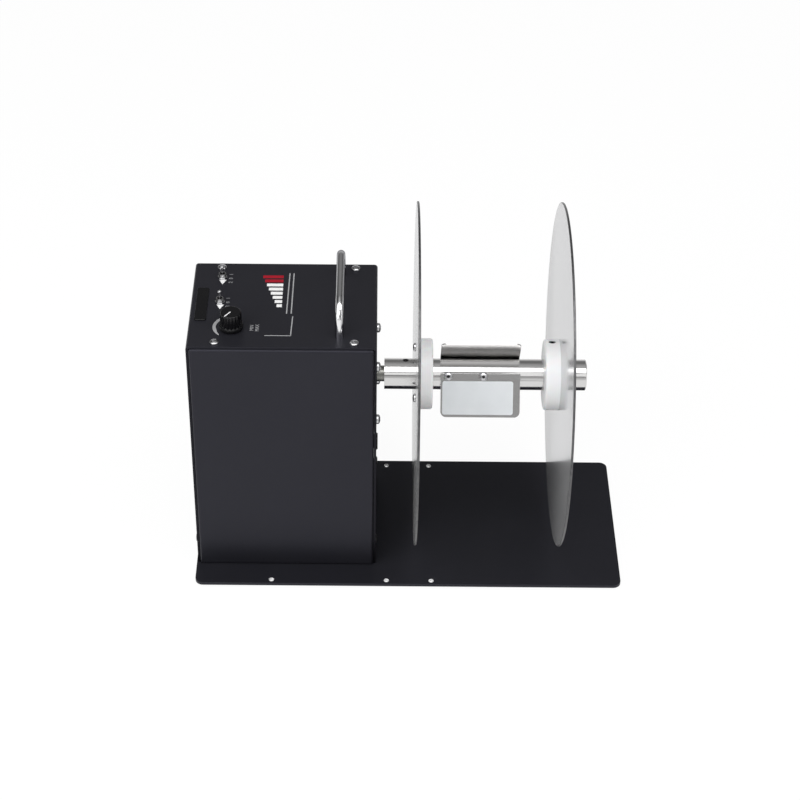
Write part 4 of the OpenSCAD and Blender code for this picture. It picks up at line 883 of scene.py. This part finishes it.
top_places = [(Vector((x, y, COVER_TOP)), UP) for x in (-165, -48.3) for y in (-55, 55.5)]
set_screws("cover_screws", (*PAN, 4, "cross"), top_places)
walls = ((LEFT_WALL, LEFT), (RIGHT_WALL, RIGHT))
wall_places = [(Vector((x, y, SIDE_SCREW_Z)), out) for x, out in walls for y in (-55, 55)]
set_screws("side_screws", (7.6, 1.2, 4.0, 4, "cross"), wall_places)
drive_places = [(Vector((RIGHT_WALL, y, AXIS_HEIGHT + z)), RIGHT) for y in DRIVE_SQUARE for z in DRIVE_SQUARE]
set_screws("drive_mount_screws", (8.6, 3.4, 5.0, 8, "cross"), drive_places)
inner_face, outer_face = FLANGE_LEFT["inner_flange"], FLANGE_LEFT["outer_flange"] + FLANGE_THICK
inner_places = [(around(FLANGE_CIRCLE, 78.5 + third, inner_face)[0], LEFT) for third in THIRDS]
set_screws("inner_flange_screws", (*PAN, 12, "cross"), inner_places)
outer_places = [(around(FLANGE_CIRCLE, 138.5 + third, outer_face)[0], RIGHT) for third in THIRDS]
set_screws("outer_flange_screws", (*PAN, 12, "cross"), outer_places)
fin_places = [around(FIN_SEAT, angle, x) for angle in (151.5, 31.5, 271.5) for x in (32.7, 63.2)]
set_screws("fin_screws", (7.6, 2.2, 4.0, 8, "hexagon"), fin_places, "button_screws")

# %% [markdown]
# ## The torque knob
# The knob is moulded: a skirt, a grip with eighteen flutes that run out softly at both ends, and a flat top.
# A lathe can't make flutes, so the radius of each ring also changes with the angle. Every ring has a
# radius, a height and the share of the flutes' depth that it takes.

# %% Knob
CONTROL_Z = 246.7
KNOB = Vector((-152, -34, CONTROL_Z)) * mm
POINTER = math.radians(235)
FLUTES, FLUTE_DEPTH = 18, 0.62
STEPS = FLUTES * 12
KNOB_RINGS = [
    (9.4, 0, 0), (10.0, 0, 0), (10.2, 0.2, 0), (10.2, 2.5, 0), (10.0, 2.9, 0), (9.6, 3.0, 0),
    (9.35, 3.15, 0.1), (9.3, 3.6, 0.7), (9.3, 4.4, 1), (9.25, 7.5, 1), (9.2, 11, 1), (9.15, 13.8, 1),
    (9.05, 14.5, 0.85), (8.8, 15.0, 0.45), (8.45, 15.35, 0.12), (8.1, 15.5, 0), (7.6, 15.5, 0), (0, 15.5, 0)]
bm = bmesh.new()
loops = []
for radius, height, depth_share in KNOB_RINGS:
    loop = []
    for i in range(STEPS if radius else 1):
        turn = 2 * math.pi * i / STEPS
        dip = FLUTE_DEPTH * depth_share * (0.5 - 0.5 * math.cos(FLUTES * turn)) ** 2
        loop.append(bm.verts.new(polar(radius - dip, turn + POINTER, height)))
    loops.append(loop)
bm.faces.new(reversed(loops[0]))
for low, high in zip(loops, loops[1:]):
    for i in range(STEPS):
        quad = [low[i], low[(i + 1) % STEPS], high[(i + 1) % len(high)], high[i % len(high)]]
        bm.faces.new(list(dict.fromkeys(quad)))
bm.transform(Matrix.Translation(KNOB))
knob = settle(new_piece("knob_fluted", bm, "black_plastic", 40), "knob", "black_plastic", "torque_knob")
print("knob:", len(knob.data.polygons), "faces")

# %% [markdown]
# The white pointer is a thin inlay that stands just proud of the knob's top. It is a flat outline, raised
# to a slab, and the printed marks later use the same helper.

# %% Pointer
def raise_faces(bm, faces, rise):
    """Raises flat faces by millimetres, so that they become the tops of closed slabs."""
    risen = bmesh.ops.extrude_face_region(bm, geom=faces)["geom"]
    tops = [item for item in risen if isinstance(item, bmesh.types.BMVert)]
    bmesh.ops.translate(bm, verts=tops, vec=(0, 0, rise * mm))


def slab(name, outlines, z_low, z_high, ink, at=Matrix.Identity(4)):
    """Thin closed slabs over flat outlines of (x, y) millimetres, as one piece."""
    bm = bmesh.new()
    for outline in outlines:
        base = bm.faces.new([bm.verts.new((x * mm, y * mm, z_low * mm)) for x, y in outline])
        raise_faces(bm, [base], z_high - z_low)
    bmesh.ops.recalc_face_normals(bm, faces=bm.faces)
    bm.transform(at)
    return new_piece(name, bm, ink, 30)


inlay = [(0.2, -0.5), (8.2, -0.5), (8.35, -0.35), (8.35, 0.35), (8.2, 0.5), (0.2, 0.5)]
on_knob = Matrix.Translation(KNOB) @ Matrix.Rotation(POINTER, 4, "Z")
pointer = slab("knob_pointer", [inlay], 15.45, 15.58, "white_ink", on_knob)
settle(pointer, "knob", "white_plastic")
print("pointer:", len(pointer.data.polygons), "faces")

# %% [markdown]
# ## The toggle switches
# Each lever swings in a threaded bushing that a flat nut clamps to the cover. The lever is turned with a ball
# at its tip. The thread is a small profile that climbs with the angle, so it is a true helix.

# %% Levers and threads
TOGGLE_X, TOGGLE_YS = -163.8, {"torque": 40.0, "direction": 3.0}
THREAD_START, THREAD_PITCH, THREAD_TURNS, THREAD_SIDES = 247.7, 0.5, 5.5, 36
THREAD_PROFILE = ((3.0, -0.2), (3.22, -0.04), (3.22, 0.04), (3.0, 0.2))
ball = arc((0, 9.8), 1.75, -58, 88, 12) + [(0, 11.55)]
stem = [(0, -1.55)] + arc((0, 0), 1.55, -75, 48, 8) + [(0.95, 1.6), (0.82, 3), (0.8, 6.5), (0.85, 7.9)]


def helix():
    """A closed thread around Z."""
    bm = bmesh.new()
    columns = []
    for i in range(int(THREAD_TURNS * THREAD_SIDES) + 1):
        turn, climb = 2 * math.pi * i / THREAD_SIDES, THREAD_PITCH * i / THREAD_SIDES
        columns.append([bm.verts.new(polar(r, turn, THREAD_START + climb + h)) for r, h in THREAD_PROFILE])
    for here, there in zip(columns, columns[1:]):
        for k in range(4):
            bm.faces.new((here[k], there[k], there[(k + 1) % 4], here[(k + 1) % 4]))
    bm.faces.new(reversed(columns[0]))
    bm.faces.new(columns[-1])
    bmesh.ops.recalc_face_normals(bm, faces=bm.faces)
    return bm


for name, y in TOGGLE_YS.items():
    bm = lathe(stem + ball, 32)
    bm.transform(Matrix.Translation((TOGGLE_X * mm, y * mm, CONTROL_Z * mm)))
    lever = new_piece(name + "_lever_turned", bm, "lever_nickel", 40)
    settle(lever, name + "_toggle", "chrome_rod", name + "_lever")
    bm = helix()
    bm.transform(Matrix.Translation((TOGGLE_X * mm, y * mm, 0)))
    thread = new_piece(name + "_bush_thread", bm, "zinc_steel", 30)
    settle(thread, "housing", "zinc_steel")
    print(name, "toggle:", len(lever.data.polygons), "and", len(thread.data.polygons), "faces")

# %% [markdown]
# ## Printing on the cover
# The marks are screen-printed: a crescent scale at the knob, an arrow head at each switch, rules, and a
# level scale of bars that ends in red. Ink has almost no thickness, but faces that lie in the paint would
# flicker, so each mark is a slab of a few hundredths.

# %% Printed marks
INK = 0.04
CRESCENT_X, CRESCENT_Y, CRESCENT_RADIUS, CRESCENT_WIDTH = -152.0, -32.2, 15.9, 2.8
CRESCENT_START, CRESCENT_END, CRESCENT_STEPS = 122, 230, 40
ARROW_X, ARROW_YS = -163.4, (33.8, -3.4)
ARROW_HALF, ARROW_BACK, ARROW_TIP = 3.2, 3.4, 3.3
LEVEL_X, LEVEL_PITCH, LEVEL_WIDTH = -110.8, 6.2, 4.2
LEVEL_COUNT, WHITE_LEVELS = 8, 6


def crescent():
    """Outline of a part of a ring that narrows over its last quarter."""
    far, near = [], []
    for i in range(CRESCENT_STEPS + 1):
        way = i / CRESCENT_STEPS
        a = math.radians(CRESCENT_START + (CRESCENT_END - CRESCENT_START) * way)
        inner = CRESCENT_RADIUS - CRESCENT_WIDTH * min(1, 0.35 + 2.6 * (1 - way))
        for points, radius in ((far, CRESCENT_RADIUS), (near, inner)):
            points.append((CRESCENT_X + radius * math.cos(a), CRESCENT_Y + radius * math.sin(a)))
    return far + near[::-1]


def bar(x0, y0, x1, y1, width):
    """Outline of a straight line of a width between two points."""
    along = Vector((x1 - x0, y1 - y0)).normalized() * width / 2
    side = Vector((-along.y, along.x))
    ends = [(x0, y0, 1), (x1, y1, 1), (x1, y1, -1), (x0, y0, -1)]
    return [(x + sign * side.x, y + sign * side.y) for x, y, sign in ends]


def print_marks(name, outlines, ink):
    """One piece of printed marks on the cover's top."""
    marks = slab(name, outlines, COVER_TOP, COVER_TOP + INK, ink)
    settle(marks, "housing", "pale_sticker")
    print(name, "has", len(outlines), "marks")


corner_line = [bar(-123.8, -44.4, -101.6, -44.4, 0.9), bar(-101.8, -44.8, -101.0, -16.4, 0.9)]
rules = [bar(-105.6, 48, -106.4, -12.5, 1.0), bar(-102.0, 48, -102.4, -12.5, 1.0)]
arrows = [[(ARROW_X - ARROW_HALF, y + ARROW_BACK), (ARROW_X, y - ARROW_TIP),
           (ARROW_X + ARROW_HALF, y + ARROW_BACK)] for y in ARROW_YS]
levels = []
for i in range(LEVEL_COUNT):
    length, y = 4.5 + 1.9 * i, LEVEL_PITCH * i - 1
    levels.append(bar(LEVEL_X - length, y, LEVEL_X, y, LEVEL_WIDTH))
print_marks("print_grey", [crescent()] + corner_line + rules, "grey_ink")
print_marks("print_white", arrows + levels[:WHITE_LEVELS], "white_ink")
print_marks("print_red", levels[WHITE_LEVELS:], "red_ink")

# %% [markdown]
# The figures at the switches and the two words at the knob start as Blender text, which fills its letters
# with faces. They are made a mesh, turned to read from the right side, and raised like the other marks.

# %% Words and figures
WORD_SIZE = 4.6
WORDS = (("1", -155, 45.5), ("0", -155, 39.5), ("2", -155, 33.5), ("1", -155.6, 9.5), ("0", -155.6, 3.5),
         ("2", -155.6, -2.5), ("MIN", -133.4, -33.5), ("MAX", -128.8, -33.5))


def word_faces(bm, text, x, y):
    """Adds the flat faces of a word that reads along +Y from a point, its letters' tops towards -X."""
    curve = bpy.data.curves.new("word", "FONT")
    curve.body, curve.size, curve.align_x, curve.resolution_u = text, WORD_SIZE * mm, "CENTER", 3
    ob = bpy.data.objects.new("word", curve)
    scene.collection.objects.link(ob)
    bpy.context.view_layer.update()
    mesh = bpy.data.meshes.new_from_object(ob.evaluated_get(bpy.context.evaluated_depsgraph_get()))
    place = Matrix.Translation((x * mm, y * mm, COVER_TOP * mm))
    mesh.transform(place @ Matrix.Rotation(math.radians(90), 4, "Z"))
    bm.from_mesh(mesh)
    bpy.data.objects.remove(ob)


bm = bmesh.new()
for text, x, y in WORDS:
    word_faces(bm, text, x, y)
bmesh.ops.remove_doubles(bm, verts=bm.verts, dist=0.0001 * mm)
raise_faces(bm, bm.faces[:], INK)
bmesh.ops.recalc_face_normals(bm, faces=bm.faces)
words = settle(new_piece("print_words", bm, "grey_ink", 30), "housing", "pale_sticker")
print("words:", len(words.data.polygons), "faces")
